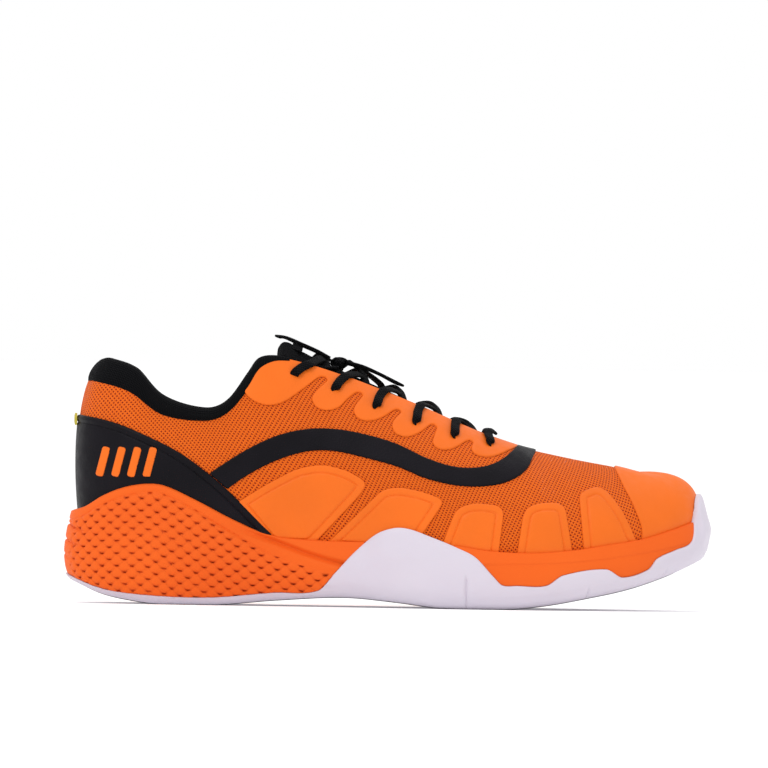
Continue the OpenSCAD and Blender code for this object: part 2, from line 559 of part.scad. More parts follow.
// Routes of the bow's loops and free ends, each point with the side it faces.
LOOP_REAR = [[-26, 1, 111.6], [-32, 3, 115], [-40, 5, 118.4], [-47, 7, 121.6], [-50, 4, 122],
             [-46, 0, 121.6], [-39, -1, 118.8], [-32, -1, 115.8], [-26.4, -2, 112.8]];
LOOP_FRONT = [[-18, 1, 110], [-12, 4, 108.6], [-4, 6, 105.6], [3, 6, 102], [6, 3, 101],
              [3, 0, 102.6], [-4, -1, 106], [-11, -1, 109], [-17.6, -2, 110.8]];
module loop(route) strap([for (p = route) [p, unit([0.35, 0, 1])]], 3.2, 1.3);
module lace_loop_rear() color(black) loop(LOOP_REAR);
module lace_loop_front() color(black) loop(LOOP_FRONT);
// The ends lie down the inner side of the upper, from the knot to an aglet: u and v of each point.
END_A = [[6.9, 1.02], [6.75, 0.92], [6.55, 0.8], [6.35, 0.68], [6.2, 0.56], [6.1, 0.46]];
END_B = [[7.5, 1.02], [7.6, 0.9], [7.65, 0.78], [7.6, 0.66], [7.5, 0.54], [7.45, 0.46]];
end_d = over + lace_t + 0.3;
function end_route(e, y0, x0) = concat(
    [[[x0, y0, knot[2] + 1.2], unit([0.2, 0.2, 1])]],
    [for (p = e) [upper_at(1, p[0], min(p[1], 1), end_d), normal_at(1, p[0])]]);
module lace_end_lateral() color(black) strap(end_route(END_A, 6, -22), 3.2, 1.3);
module lace_end_medial() color(black) strap(end_route(END_B, 6, -18), 3.2, 1.3);
module aglet(e) {
    a = upper_at(1, e[5][0], e[5][1], end_d);
    d = unit(a - upper_at(1, e[4][0], e[4][1], end_d));
    translate(a + d * gap)
        rotate([0, acos(d[2]), atan2(d[1], d[0])])
            cylinder(r = 1.3, h = aglet_l, $fn = 24);
}
module aglets() color(black) {
    aglet(END_A);
    aglet(END_B);
}

outsole();
midsole();
torsion_shank();
strobel_board();
insole();
upper_mesh();
inner_lining();
heel_counter();
toe_puff();
collar_foam();
collar_lining();
toe_cap();
side_panels_lateral();
side_panels_medial();
eyestay_lateral();
eyestay_medial();
side_band();
heel_overlay();
heel_badge();
heel_tag();
tongue_face();
tongue_foam();
tongue_lining();
tongue_lace_keeper();
lace();
lace_knot();
lace_loop_rear();
lace_loop_front();
lace_end_lateral();
lace_end_medial();
aglets();
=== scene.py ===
import math

import bmesh
import bpy
import numpy as np
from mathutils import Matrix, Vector


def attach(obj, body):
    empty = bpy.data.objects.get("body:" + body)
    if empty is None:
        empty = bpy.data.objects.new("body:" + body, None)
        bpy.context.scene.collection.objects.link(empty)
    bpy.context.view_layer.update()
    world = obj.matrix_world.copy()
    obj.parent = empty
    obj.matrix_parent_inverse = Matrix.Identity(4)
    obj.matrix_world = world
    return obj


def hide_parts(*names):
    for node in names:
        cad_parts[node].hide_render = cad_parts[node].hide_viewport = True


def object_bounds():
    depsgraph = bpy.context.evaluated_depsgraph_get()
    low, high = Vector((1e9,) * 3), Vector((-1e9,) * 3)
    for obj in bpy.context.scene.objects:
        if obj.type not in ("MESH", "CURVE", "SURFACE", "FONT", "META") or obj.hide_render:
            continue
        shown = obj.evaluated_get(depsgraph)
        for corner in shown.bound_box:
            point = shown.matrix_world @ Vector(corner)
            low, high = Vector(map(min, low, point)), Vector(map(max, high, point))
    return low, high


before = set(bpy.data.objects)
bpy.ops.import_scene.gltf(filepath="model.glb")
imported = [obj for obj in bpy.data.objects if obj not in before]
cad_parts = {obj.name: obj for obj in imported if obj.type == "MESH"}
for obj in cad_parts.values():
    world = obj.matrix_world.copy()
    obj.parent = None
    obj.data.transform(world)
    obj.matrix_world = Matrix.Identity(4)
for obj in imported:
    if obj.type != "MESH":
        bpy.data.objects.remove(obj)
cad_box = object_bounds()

# Court shoe. Lengths are in millimetres until a mesh is made.
# The upper is lofted round the shoe's edge: u runs from -14 at the toe tip, back along the
# lateral side to 0 at the heel and on to +14; v runs from -1 at the board through 0 at the
# top of the sole to 1 at the collar, the throat edge or the ridge of the forefoot.
MM = 0.001
UP = np.array([0, 0, 1.0])

# ---- curves ----


def curve(knots, p):
    """Smooth curve through knots [p, a, b, ...] at every p."""
    k = np.asarray(knots, float)
    x, y = k[:, 0], k[:, 1:]
    p = np.clip(np.asarray(p, float), x[0], x[-1])
    low, high = np.maximum(np.arange(len(x)) - 1, 0), np.minimum(np.arange(len(x)) + 1, len(x) - 1)
    slope = (y[high] - y[low]) / (x[high] - x[low])[:, None]
    i = np.clip(np.searchsorted(x, p, side="right") - 1, 0, len(x) - 2)
    h = (x[i + 1] - x[i])[..., None]
    t = ((p - x[i]) / (x[i + 1] - x[i]))[..., None]
    return (y[i] * (2 * t**3 - 3 * t**2 + 1) + slope[i] * h * (t**3 - 2 * t**2 + t)
            + y[i + 1] * (3 * t**2 - 2 * t**3) + slope[i + 1] * h * (t**3 - t**2))


def value(knots, p):
    return curve(knots, p)[..., 0]


def smooth(a, b, x):
    t = np.clip((np.asarray(x, float) - a) / (b - a), 0, 1)
    return t * t * (3 - 2 * t)


def bell(x, at, width):
    return np.exp(-((np.asarray(x) - at) / width) ** 2)


def unit(v):
    return v / np.maximum(np.linalg.norm(v, axis=-1, keepdims=True), 1e-9)


def steps(points):
    return np.linalg.norm(np.diff(points, axis=0), axis=1)


def travelled(points):
    """Distance along a line of points, at each point."""
    return np.concatenate([[0], np.cumsum(steps(points))])


# ---- plan outline and height lines ----

LATERAL = [[-146, 0], [-141.5, -18], [-127, -31], [-104, -38], [-78, -40], [-50, -40], [-22, -43],
           [6, -48.5], [33, -52], [60, -50.5], [86, -43.5], [109, -33.5], [129, -19.5], [141.5, -5],
           [146, 13]]
MEDIAL = [[-146, 0], [-141.5, 18], [-127, 30.5], [-104, 37], [-78, 36], [-50, 31], [-22, 28.5],
          [6, 32], [33, 42], [60, 50.5], [86, 52], [109, 48], [129, 40], [141.5, 28.5], [146, 13]]
LOOP = ([[-15] + MEDIAL[13]] + [[-i] + LATERAL[i] for i in range(14, 0, -1)]
        + [[i] + MEDIAL[i] for i in range(15)] + [[15] + LATERAL[13]])
GROUND = [[-146, 9], [-131, 4], [-114, 1], [-104, 0], [-76, 0], [-50, 2.4], [-20, 4.2], [4, 2.4],
          [22, 0.3], [30, 0], [56, 0], [75, 1.9], [93, 5.2], [114, 9.8], [132, 15.8], [146, 21.8]]
FEATHER = [[-146, 42], [-139, 44], [-130, 49], [-119, 53], [-108, 54.6], [-100, 53.6], [-86, 47.5],
           [-70, 39.5], [-53, 32.5], [-36, 30.5], [-8, 29.7], [29, 29], [46, 26.8], [65, 26],
           [86, 27.4], [104, 30.4], [119, 33], [132, 37], [146, 42]]
BOARD = [[-146, 21], [-110, 19.5], [-80, 18.5], [-50, 17], [-20, 15.5], [20, 12.5], [60, 11.5],
         [90, 14.5], [114, 20], [132, 27], [146, 34]]
# The height of the outsole's upper edge. Heel and toe are the same on both sides.
WALL_HEEL = [[0, 13.5], [1, 11], [2, 6.2], [3, 3.9], [4, 3.6], [5, 6.2]]
WALL_TOE = [[12.75, 31.5], [13.05, 39], [13.3, 48], [13.6, 52], [14, 53.5]]
WALL_LATERAL = WALL_HEEL + [[5.7, 7.4], [6, 16], [6.3, 25.5], [6.6, 33], [6.9, 36.2], [7.15, 36],
                            [7.5, 32.8], [8, 27.6], [8.3, 23.5], [8.6, 15], [8.75, 11.2], [9, 11],
                            [9.5, 11.2], [9.8, 16], [10.6, 19], [10.95, 15.4], [11.5, 19], [11.7, 24],
                            [12.2, 28]] + WALL_TOE
WALL_MEDIAL = WALL_HEEL + [[6, 7.6], [7, 8.4], [7.6, 14], [8, 20], [8.5, 23], [9.2, 21], [9.8, 16],
                           [10.6, 19], [11.3, 18], [12, 25]] + WALL_TOE
# The upper's top edge: u, x, y on the lateral side, z.
TOP_LINE = [[0, -130.5, 0, 109], [1, -127.5, 12.5, 108.8], [2, -114.5, 20.5, 104], [3, -101.5, 26, 91.5],
            [4, -83, 29.5, 86.2], [4.6, -73, 29.5, 89.5], [5.2, -63.5, 27, 102.4], [5.6, -57.5, 23.5, 110.6],
            [6, -48, 19, 112], [7, -20, 14.8, 104.3], [8, 11, 13.5, 92.6], [9, 41, 11.5, 80],
            [9.6, 57, 8, 74.6], [10, 65, 0, 72.5], [11, 86, -3, 68.2], [12, 103, -6, 65.1],
            [13, 112, -8, 62.4], [14, 115, -9, 62.4]]
# Handles of the upper's columns: u, then out and up at the foot, out and down at the top.
PROFILE = [[0, 2, 18, 12, 10], [2, 3, 15, 7, 12], [3, 3, 10, 4, 11], [4, 3, 12, 4, 12], [5, 3, 20, 6, 18],
           [6, 3, 22, 10, 16], [7, 2.5, 20, 15, 12], [8, 2.5, 16, 19, 9], [9, 2.5, 13, 22, 5],
           [10, 2, 13, 24, 1.5], [11, 1.5, 12, 21, 0.6], [12, 1.5, 11, 17, 0.2], [13, 1.5, 12, 17.5, -0.3],
           [14, 1.8, 14, 20, -1.4]]
TREAD_H = 0.3
FLOOR_T = 2.6
WING_PROUD = 0.8
OUTSOLE_WALL_T = 2.2
BOARD_STEP = 3.2


def ground(x):
    return np.maximum(0, value(GROUND, x))


def feather(x):
    return value(FEATHER, x)


def board(x):
    return value(BOARD, x)


def wall_top(u):
    return np.where(u < 0, value(WALL_LATERAL, -u), value(WALL_MEDIAL, u))


def wrap(u):
    u = np.asarray(u, float)
    return np.where(u > 14, u - 28, np.where(u < -14, u + 28, u))


def outline(u):
    return curve(LOOP, wrap(u))


def outward(u):
    t = unit(outline(np.asarray(u) + 0.06) - outline(np.asarray(u) - 0.06))
    return np.stack([-t[..., 1], t[..., 0], 0 * t[..., 0]], -1)


def inset(u, d, z):
    p = outline(u)
    q = np.stack(np.broadcast_arrays(p[..., 0], p[..., 1], z), -1)
    return q - outward(u) * np.asarray(d)[..., None]


def foot_inset(u):
    return 4.6 + 2.4 * smooth(3, 0, np.abs(wrap(u)))


def column(u):
    """Control points of each column: board, foot, two handles, top."""
    u = wrap(u)
    a, side = np.abs(u), np.where(u < 0, -1, 1)
    out, x, k = outward(u), outline(u)[..., 0], curve(PROFILE, a)
    foot = inset(u, foot_inset(u), feather(x))
    top = curve(TOP_LINE, a)
    top = np.stack([top[..., 0], np.where(a >= 10, -top[..., 1], side * top[..., 1]), top[..., 2]], -1)
    return (inset(u, foot_inset(u) + BOARD_STEP, board(x) + 0.1), foot,
            foot + out * k[..., 0:1] + UP * k[..., 1:2], top + out * k[..., 2:3] - UP * k[..., 3:4], top)


def along(c, v):
    v = np.asarray(v, float)[..., None]
    low = c[1] * (1 + v) - c[0] * v
    high = c[1] * (1 - v) ** 3 + 3 * c[2] * v * (1 - v) ** 2 + 3 * c[3] * v * v * (1 - v) + c[4] * v**3
    return np.where(v < 0, low, high)


def spread(a, b):
    return np.broadcast_arrays(np.asarray(a, float), np.asarray(b, float))


def upper(u, v, d=0.0):
    """Point of the upper at (u, v), d outside its outer skin."""
    u, v = spread(u, v)
    p = along(column(u), v)
    return p + upper_normal(u, v) * np.broadcast_to(np.asarray(d, float), u.shape)[..., None]


def upper_normal(u, v):
    u, v = spread(u, v)
    w, e, s = np.clip(v, 0.03, 0.97), 0.02, 0.05
    c = column(u)
    n = unit(np.cross(along(c, w + e) - along(c, w - e), along(column(u + s), w) - along(column(u - s), w)))
    return np.where((v < 0)[..., None], outward(u), n)


def padding(u, v):
    return smooth(0.42, 0.72, v) * smooth(6, 5.2, np.abs(wrap(u)))


# ---- meshes ----


SHARP_ANGLE = math.radians(42)
WELD = 0.004


def add_piece(name, verts, faces, material, nodes, slot, body="shoe", uv=None, weld=0, shade=None):
    """A smooth mesh object from millimetre points, welded where asked, riding on its body."""
    mesh = bpy.data.meshes.new(name)
    mesh.from_pydata((np.asarray(verts) * MM).tolist(), [], [list(map(int, f)) for f in faces])
    if uv is not None:
        layer = mesh.uv_layers.new(name="surface")
        loops = np.empty(len(mesh.loops), int)
        mesh.loops.foreach_get("vertex_index", loops)
        layer.data.foreach_set("uv", np.asarray(uv, float)[loops].ravel())
    # shade is painted shade per point, kept as a point attribute that the material darkens the colour by
    if shade is not None:
        painted_recess_shade = mesh.attributes.new("painted_recess_shade", "FLOAT", "POINT")
        painted_recess_shade.data.foreach_set("value", np.asarray(shade, np.float32))
    bm = bmesh.new()
    bm.from_mesh(mesh)
    if weld:
        bmesh.ops.remove_doubles(bm, verts=bm.verts, dist=weld * MM)
    bmesh.ops.recalc_face_normals(bm, faces=bm.faces)
    bm.to_mesh(mesh)
    bm.free()
    for polygon in mesh.polygons:
        polygon.use_smooth = True
    obj = add_object(name, mesh)
    mesh.materials.append(material)
    mesh.set_sharp_from_angle(angle=SHARP_ANGLE)
    for node in nodes:
        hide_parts(node)
    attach(obj, body)
    return obj


def quads(rows, cols, base=0, loop=False, flip=False):
    """Faces of a grid of points stored row after row; loop joins its last column to its first."""
    r, c = np.meshgrid(np.arange(rows - 1), np.arange(cols if loop else cols - 1), indexing="ij")
    n = (c + 1) % cols
    f = np.stack([r * cols + c, r * cols + n, (r + 1) * cols + n, (r + 1) * cols + c], -1)
    f = f.reshape(-1, 4) + base
    return f[:, ::-1] if flip else f


def joined(parts):
    """One mesh from several pairs of points and faces."""
    verts, faces, base = [], [], 0
    for v, f in parts:
        verts.append(v)
        faces += [[i + base for i in face] for face in f]
        base += len(v)
    return np.concatenate(verts), faces


def lofted(rings, across_first=24, across_last=24, shape_first=None, shape_last=None):
    """Closed solid from rings round the shoe (columns from u = -14 to 14), with gridded caps."""
    n = len(rings[0])
    verts, faces = [np.concatenate(rings)], [quads(len(rings), n, loop=True)]
    base = len(verts[0])
    for ring, count, shape, flip in ((rings[0], across_first, shape_first, True),
                                     (rings[-1], across_last, shape_last, False)):
        half = n // 2
        a, b = ring[:half + 1], ring[(n - np.arange(half + 1)) % n]
        t = np.linspace(0, 1, count + 1)[None, :, None]
        grid = a[:, None] * (1 - t) + b[:, None] * t
        if shape:
            grid[..., 2] += shape(grid[..., 0], grid[..., 1], t[..., 0] * np.ones(grid.shape[:2]))
        verts.append(grid.reshape(-1, 3))
        faces.append(quads(half + 1, count + 1, base, flip=flip))
        base += grid.size // 3
    return np.concatenate(verts), np.concatenate(faces)


def loop_columns(n):
    return -14 + 28 * np.arange(n) / n


THROAT_END = 9.99  # past this u the two sides meet on the ridge, so there is no open edge


def layer_mesh(n, vs, d0, d1, pad=0.0):
    """A layer of the upper between depths d0 and d1, round the whole shoe; pad moves it in at the collar."""
    U, V = np.meshgrid(loop_columns(n), vs, indexing="ij")
    P, N, padded = upper(U, V), upper_normal(U, V), padding(U, V)[..., None]
    outer, inner = (P + N * (d - pad * padded) for d in (d1, d0))
    outer, inner = (np.concatenate([g, g[:1]]) for g in (outer, inner))
    rows, cols = outer.shape[:2]
    half = rows * cols
    faces = [quads(rows, cols), quads(rows, cols, half, flip=True)]
    k = np.arange(rows - 1)
    for j in (0, cols - 1):
        a, b = k * cols + j, (k + 1) * cols + j
        wall = np.stack([a, b, b + half, a + half], -1)
        if j and vs[-1] > 0.999:
            near = np.abs(wrap(np.append(U[:, 0], U[0, 0]))) < THROAT_END
            wall = wall[near[:-1] | near[1:]]
        faces.append(wall)
    verts = np.concatenate([outer.reshape(-1, 3), inner.reshape(-1, 3)])
    return verts, np.concatenate(faces), arc_uv(outer)


def arc_uv(grid):
    """Distances along the surface in millimetres, the same for the outer and inner side."""
    s = travelled(grid[:, grid.shape[1] // 2])
    h = np.cumsum(np.linalg.norm(np.diff(grid, axis=1), axis=2), axis=1)
    h = np.concatenate([np.zeros((len(grid), 1)), h], 1)
    uv = np.stack([np.broadcast_to(s[:, None], h.shape), h], -1).reshape(-1, 2)
    return np.concatenate([uv, uv])


# ---- overlays cut from the skin ----


def rounded(points, r=3.0):
    """A closed outline with each corner rounded; r is one radius, or a point's own third value."""
    out = []
    n = len(points)
    for i in range(n):
        p, a, b = (np.array(points[k % n][:2], float) for k in (i, i - 1, i + 1))
        own = points[i][2] if len(points[i]) > 2 else r
        la, lb = np.linalg.norm(a - p), np.linalg.norm(b - p)
        s, e = p + (a - p) / la * min(own, la * 0.49), p + (b - p) / lb * min(own, lb * 0.49)
        for t in np.linspace(0, 1, 6):
            out.append(s * (1 - t) ** 2 + 2 * p * t * (1 - t) + e * t * t)
    return np.array(out)


def inside_distance(loop, x, z):
    """Distance from the outline, positive inside it."""
    q = np.stack([x, z], -1)
    best = np.full(len(q), 1e9)
    crossings = np.zeros(len(q), int)
    for a, b in zip(loop, np.roll(loop, -1, axis=0)):
        ab = b - a
        length = max(ab @ ab, 1e-12)
        t = np.clip(((q - a) @ ab) / length, 0, 1)
        best = np.minimum(best, np.linalg.norm(q - a - t[:, None] * ab, axis=1))
        between = (a[1] > q[:, 1]) != (b[1] > q[:, 1])
        at = a[0] + (q[:, 1] - a[1]) * (b[0] - a[0]) / (b[1] - a[1] if b[1] != a[1] else 1e-9)
        crossings += between & (q[:, 0] < at)
    return np.where(crossings % 2 == 1, best, -best)


def skin_patch(u0, u1, v0, v1, step=0.9):
    """A triangle mesh of the outer skin over that range of u and v; u may run on past 14."""
    nu = max(8, int((u1 - u0) * 21 / step))
    mid = upper(np.full(40, wrap((u0 + u1) / 2)), np.linspace(v0, v1, 40))
    nv = max(6, int(steps(mid).sum() / step))
    U, V = np.meshgrid(np.linspace(u0, u1, nu + 1), np.linspace(v0, v1, nv + 1), indexing="ij")
    P, N = upper(U, V), upper_normal(U, V)
    f = quads(nu + 1, nv + 1)
    tris = np.concatenate([f[:, [0, 1, 2]], f[:, [0, 2, 3]]])
    return weld({"P": P.reshape(-1, 3), "N": N.reshape(-1, 3), "T": tris})


def weld(m):
    key = np.round(m["P"] * 50).astype(np.int64)
    _, first, back = np.unique(key, axis=0, return_index=True, return_inverse=True)
    tris = back.ravel()[m["T"]]
    ok = (tris[:, 0] != tris[:, 1]) & (tris[:, 1] != tris[:, 2]) & (tris[:, 2] != tris[:, 0])
    return {"P": m["P"][first], "N": m["N"][first], "T": tris[ok]}


def split(m, f, level):
    """Adds points where the field f crosses level, so that no triangle crosses it."""
    s = f - level
    s = np.where(np.abs(s) < 0.02, 0, s)
    P, N, F = list(m["P"]), list(m["N"]), list(f)
    T, sign = m["T"], np.sign(s)
    mixed = (sign[T].max(1) > 0) & (sign[T].min(1) < 0)
    new, seen = [], {}

    def cross(a, b):
        key = (min(a, b), max(a, b))
        if key not in seen:
            t = s[a] / (s[a] - s[b])
            seen[key] = len(P)
            P.append(m["P"][a] * (1 - t) + m["P"][b] * t)
            N.append(unit(m["N"][a] * (1 - t) + m["N"][b] * t))
            F.append(level)
        return seen[key]

    for tri in T[mixed]:
        while sign[tri[0]] == 0 or (sign[tri[0]] * sign[tri[1:]] > 0).any():
            tri = np.roll(tri, -1)  # until its first corner is alone on its side of the level
        a, b, c = tri
        ab = b if sign[b] == 0 else cross(a, b)
        ac = c if sign[c] == 0 else cross(a, c)
        new += [t for t in ([a, ab, ac], [ab, b, c], [ab, c, ac]) if len(set(t)) == 3]
    T = np.concatenate([T[~mixed], np.array(new, int).reshape(-1, 3)]) if new else T
    return {"P": np.array(P), "N": np.array(N), "T": T}, np.array(F)


SKIN_GAP = 0.12
THINNEST = 0.04
RIM_LEVELS = (0.12, 0.35, 0.65)
PANEL_LEVELS = RIM_LEVELS + (2.7, 3.1, 3.4, 3.7, 4.2)
HEEL_LEVELS = RIM_LEVELS + (1.5, 2.3, 3.0, 3.4, 3.8)


def overlay(m, field, levels, height, base=SKIN_GAP):
    """Closed film: the part of m where field > 0, its top at base + height(field) off the skin."""
    f = field(m["P"])
    for level in (0.0,) + levels:
        m, f = split(m, f, level)
    keep = (f[m["T"]].mean(1) > 0) & (f[m["T"]].min(1) > -1e-6)
    used, T = np.unique(m["T"][keep], return_inverse=True)
    T = T.reshape(-1, 3)
    P, N, f = m["P"][used], m["N"][used], f[used]
    top = P + N * (base + np.maximum(height(np.maximum(f, 0)), THINNEST))[:, None]
    n = len(P)
    edges = np.concatenate([T[:, [0, 1]], T[:, [1, 2]], T[:, [2, 0]]])
    whole = {(a, b) for a, b in edges.tolist()}
    rim = [[a, b, b + n, a + n] for a, b in edges.tolist() if (b, a) not in whole]
    faces = [list(t) for t in T] + [list(t[::-1] + n) for t in T] + rim
    return np.concatenate([top, P + N * base]), faces


def rounded_rim(f, thick):
    return thick * np.sqrt(np.clip(1 - (1 - np.clip(f / 0.6, 0, 1)) ** 2, 0, 1))


def plain_film(thick=0.7):
    return lambda f: rounded_rim(f, thick)


def panel_height(f):
    """A rounded rim, a fused line parallel to it, and the flat film inside."""
    return rounded_rim(f, 0.7) - 0.42 * bell(f, 3.4, 0.42) + 0.22 * smooth(3.4, 3.4 + 0.9, f)


def heel_height(f):
    """A rounded rim, a piping and a seam."""
    return rounded_rim(f, 0.8) + 0.55 * bell(f, 1.5, 1.0) - 0.4 * bell(f, 3.4, 0.35)


# ---- materials ----


LEVEL = 0.82  # the white surroundings and the key light together are brighter than full white


class Nodes:
    """A material's node tree, with short calls for the few node kinds used here."""

    def __init__(self, name, color, rough, specular=0.5, sheen=0.0):
        color = [c * LEVEL for c in color]
        self.material = bpy.data.materials.new(name)
        self.material.use_nodes = True
        self.material.diffuse_color = (*color, 1)
        self.tree = self.material.node_tree
        self.shader = self.tree.nodes["Principled BSDF"]
        for socket, v in (("Base Color", (*color, 1)), ("Roughness", rough), ("Specular IOR Level", specular),
                          ("Sheen Weight", sheen)):
            self.shader.inputs[socket].default_value = v

    def put(self, kind, inputs=(), **settings):
        node = self.tree.nodes.new(kind)
        for key, v in settings.items():
            setattr(node, key, v)
        for key, v in dict(inputs).items():
            socket = node.inputs[key]
            if isinstance(v, bpy.types.NodeSocket):
                self.tree.links.new(v, socket)
            else:
                socket.default_value = v
        return node

    def math(self, operation, a, b=0.0):
        return self.put("ShaderNodeMath", {0: a, 1: b}, operation=operation).outputs[0]

    def coords(self, which="Object"):
        return self.put("ShaderNodeTexCoord").outputs[which]

    def noise(self, scale, detail):
        inputs = {"Vector": self.coords(), "Scale": scale, "Detail": detail}
        return self.put("ShaderNodeTexNoise", inputs).outputs["Fac"]

    def ramp(self, fac, low, high, a=0.0, b=1.0):
        return self.put("ShaderNodeMapRange", {"Value": fac, "From Min": low, "From Max": high,
                                               "To Min": a, "To Max": b}).outputs[0]

    def mix(self, fac, a, b):
        node = self.put("ShaderNodeMix", {0: fac}, data_type="RGBA")
        for i, v in ((6, a), (7, b)):
            if isinstance(v, bpy.types.NodeSocket):
                self.tree.links.new(v, node.inputs[i])
            else:
                node.inputs[i].default_value = (*[c * LEVEL for c in v], 1)
        return node.outputs[2]

    def color(self, socket):
        self.tree.links.new(socket, self.shader.inputs["Base Color"])

    def clouds(self, scale, detail, a=0.0, b=1.0):
        """Soft noise from a to b."""
        return self.ramp(self.noise(scale, detail), 0.3, 0.7, a, b)

    def rough(self, socket):
        self.tree.links.new(socket, self.shader.inputs["Roughness"])

    def bump(self, height, distance):
        node = self.put("ShaderNodeBump", {"Height": height, "Distance": distance * MM, "Strength": 1.0})
        self.tree.links.new(node.outputs[0], self.shader.inputs["Normal"])

    def lattice(self, pitch, turn=0.0, wide=1.0):
        """cos a + cos b over a square lattice of that pitch in millimetres: 2 at its points, -2 between."""
        xyz = self.put("ShaderNodeSeparateXYZ", {0: self.coords("UV")}).outputs
        c, s, scale = math.cos(turn), math.sin(turn), 2 * math.pi / pitch
        waves = []
        for kx, ky in ((c, s), (-s, c)):
            x = self.math("MULTIPLY", xyz[0], kx * scale / wide)
            y = self.math("MULTIPLY", xyz[1], ky * scale)
            waves.append(self.math("COSINE", self.math("ADD", x, y)))
        return self.math("ADD", *waves)


def mesh_material():
    """Open knit: rows of small diagonal holes through which the dark backing shows."""
    m = Nodes("orange knit mesh", (0.86, 0.125, 0.008), 0.8, 0.12, sheen=0.03)
    holes = m.lattice(1.5, math.radians(38))
    hole = m.ramp(m.math("ADD", holes, m.math("MULTIPLY", m.noise(420, 2), 0.5)), 0.95, 1.35)
    yarn = m.mix(m.noise(900, 2), (1.0, 0.185, 0.012), (0.92, 0.135, 0.008))
    m.color(m.mix(hole, yarn, (0.30, 0.016, 0.003)))
    m.bump(holes, -0.16)
    return m.material


def solid_material(name, base, rough, specular, shade, colors, grain, depth, gloss=None):
    """A colour that drifts between two tones, over a fine grain."""
    m = Nodes(name, base, rough, specular)
    m.color(m.mix(m.clouds(*shade), *colors))
    if gloss:
        m.rough(m.clouds(*gloss))
    m.bump(m.noise(*grain), depth)
    return m.material


def tones(color, low, high):
    return [c * low for c in color], [min(1, c * high) for c in color]


def film_material():
    color = (0.95, 0.172, 0.009)
    return solid_material("fused orange film", color, 0.5, 0.2, (26, 4), tones(color, 0.93, 1.05), (1500, 3),
                          0.05, (300, 3, 0.44, 0.58))


def rubber_material():
    return solid_material("pale rubber", (0.72, 0.66, 0.76), 0.55, 0.25, (14, 5),
                          ((0.70, 0.64, 0.745), (0.755, 0.70, 0.795)), (1400, 3), 0.04, (120, 4, 0.42, 0.58))


def plain_material(name, color, rough=0.6, grain=400, depth=0.05):
    return solid_material(name, color, rough, 0.5, (30, 4), tones(color, 0.86, 1.1), (grain, 3), depth)


def foam_material():
    """Moulded foam with painted shade: darker where the painted recess-shade attribute marks the scales'
    notches.
    """
    m = Nodes("moulded orange foam", (0.92, 0.115, 0.008), 0.66, 0.18)
    surface = m.mix(m.clouds(18, 4), (0.90, 0.122, 0.008), (0.97, 0.146, 0.011))
    painted_recess_shade = m.put("ShaderNodeAttribute", attribute_name="painted_recess_shade").outputs["Fac"]
    # painted shade: the dark foam colour is mixed in where the attribute marks recesses
    m.color(m.mix(painted_recess_shade, surface, (0.42, 0.028, 0.003)))
    m.bump(m.noise(2200, 2), 0.04)
    return m.material


def synthetic_material():
    """Black coated synthetic with a fine pebble grain."""
    m = Nodes("black synthetic", (0.006, 0.005, 0.008), 0.5, 0.1)
    grain = m.put("ShaderNodeTexVoronoi", {"Vector": m.coords(), "Scale": 1500.0}, feature="F1")
    m.color(m.mix(m.clouds(60, 4), (0.0035, 0.0028, 0.005), (0.007, 0.0055, 0.009)))
    m.rough(m.clouds(240, 3, 0.42, 0.58))
    m.bump(m.math("ADD", grain.outputs["Distance"], m.math("MULTIPLY", m.noise(500, 4), 0.6)), 0.09)
    return m.material


def knit_material(name, color, light, pitch):
    """Dense knit with small wales."""
    m = Nodes(name, color, 0.9, 0.06, sheen=0.015)
    cells = m.lattice(pitch, wide=0.72)
    m.color(m.mix(m.ramp(cells, -1.2, 1.6), color, light))
    m.bump(cells, 0.16)
    return m.material


def lace_material():
    """Flat braid: two families of yarns crossing at a slant."""
    m = Nodes("black braided lace", (0.002, 0.002, 0.003), 0.8, 0.08, sheen=0.01)
    braid = m.lattice(1.0, math.radians(45))
    m.color(m.mix(m.ramp(braid, -1.0, 1.8), (0.001, 0.001, 0.0015), (0.006, 0.006, 0.008)))
    m.bump(braid, 0.14)
    return m.material


MESH, FILM, FOAM, RUBBER = mesh_material(), film_material(), foam_material(), rubber_material()
SYNTHETIC, LACE = synthetic_material(), lace_material()
KNIT = knit_material("black knit lining", (0.0012, 0.0012, 0.0018), (0.006, 0.006, 0.008), 1.1)
INSOLE = knit_material("dark insole knit", (0.012, 0.012, 0.016), (0.045, 0.045, 0.055), 1.4)
AGLET = plain_material("aglet plastic", (0.012, 0.012, 0.014), 0.25, 200, 0.02)
STIFFENER = plain_material("stiffener sheet", (0.55, 0.51, 0.44), 0.6)
GREY_FOAM = plain_material("grey foam", (0.24, 0.24, 0.26), 0.9, 900, 0.3)
BOARD_FABRIC = plain_material("stitched board", (0.62, 0.57, 0.48), 0.8, 700, 0.1)
SHANK = plain_material("shank plastic", (0.02, 0.02, 0.022), 0.4)
TAG = plain_material("woven tag", (0.72, 0.60, 0.08), 0.8, 900, 0.1)


# ---- the sole ----

SOLE_COLUMNS = 1360
WALL_INSET = [[0, 6.5], [0.05, 3.6], [0.14, 1.6], [0.32, 0.2], [0.5, 0], [0.75, 0.9], [1, 2.6]]


def wall_point(u, h, d):
    """Point of the sole's wall, h from 0 at the bottom to 1 at its top edge, and on up the toe past 1."""
    x = outline(u)[..., 0]
    z0, z1 = ground(x) + TREAD_H, feather(x)
    more = 0.8 * smooth(2.4, 0, np.abs(wrap(u))) * np.clip(h, 0, 1)
    lean = value(WALL_INSET, np.clip(h, 0, 1)) + more + 5.5 * np.clip(h - 1, 0, None)
    return inset(u, lean + d, z0 + h * (z1 - z0))


SCALE_W, SCALE_H = 7.35, 5.6


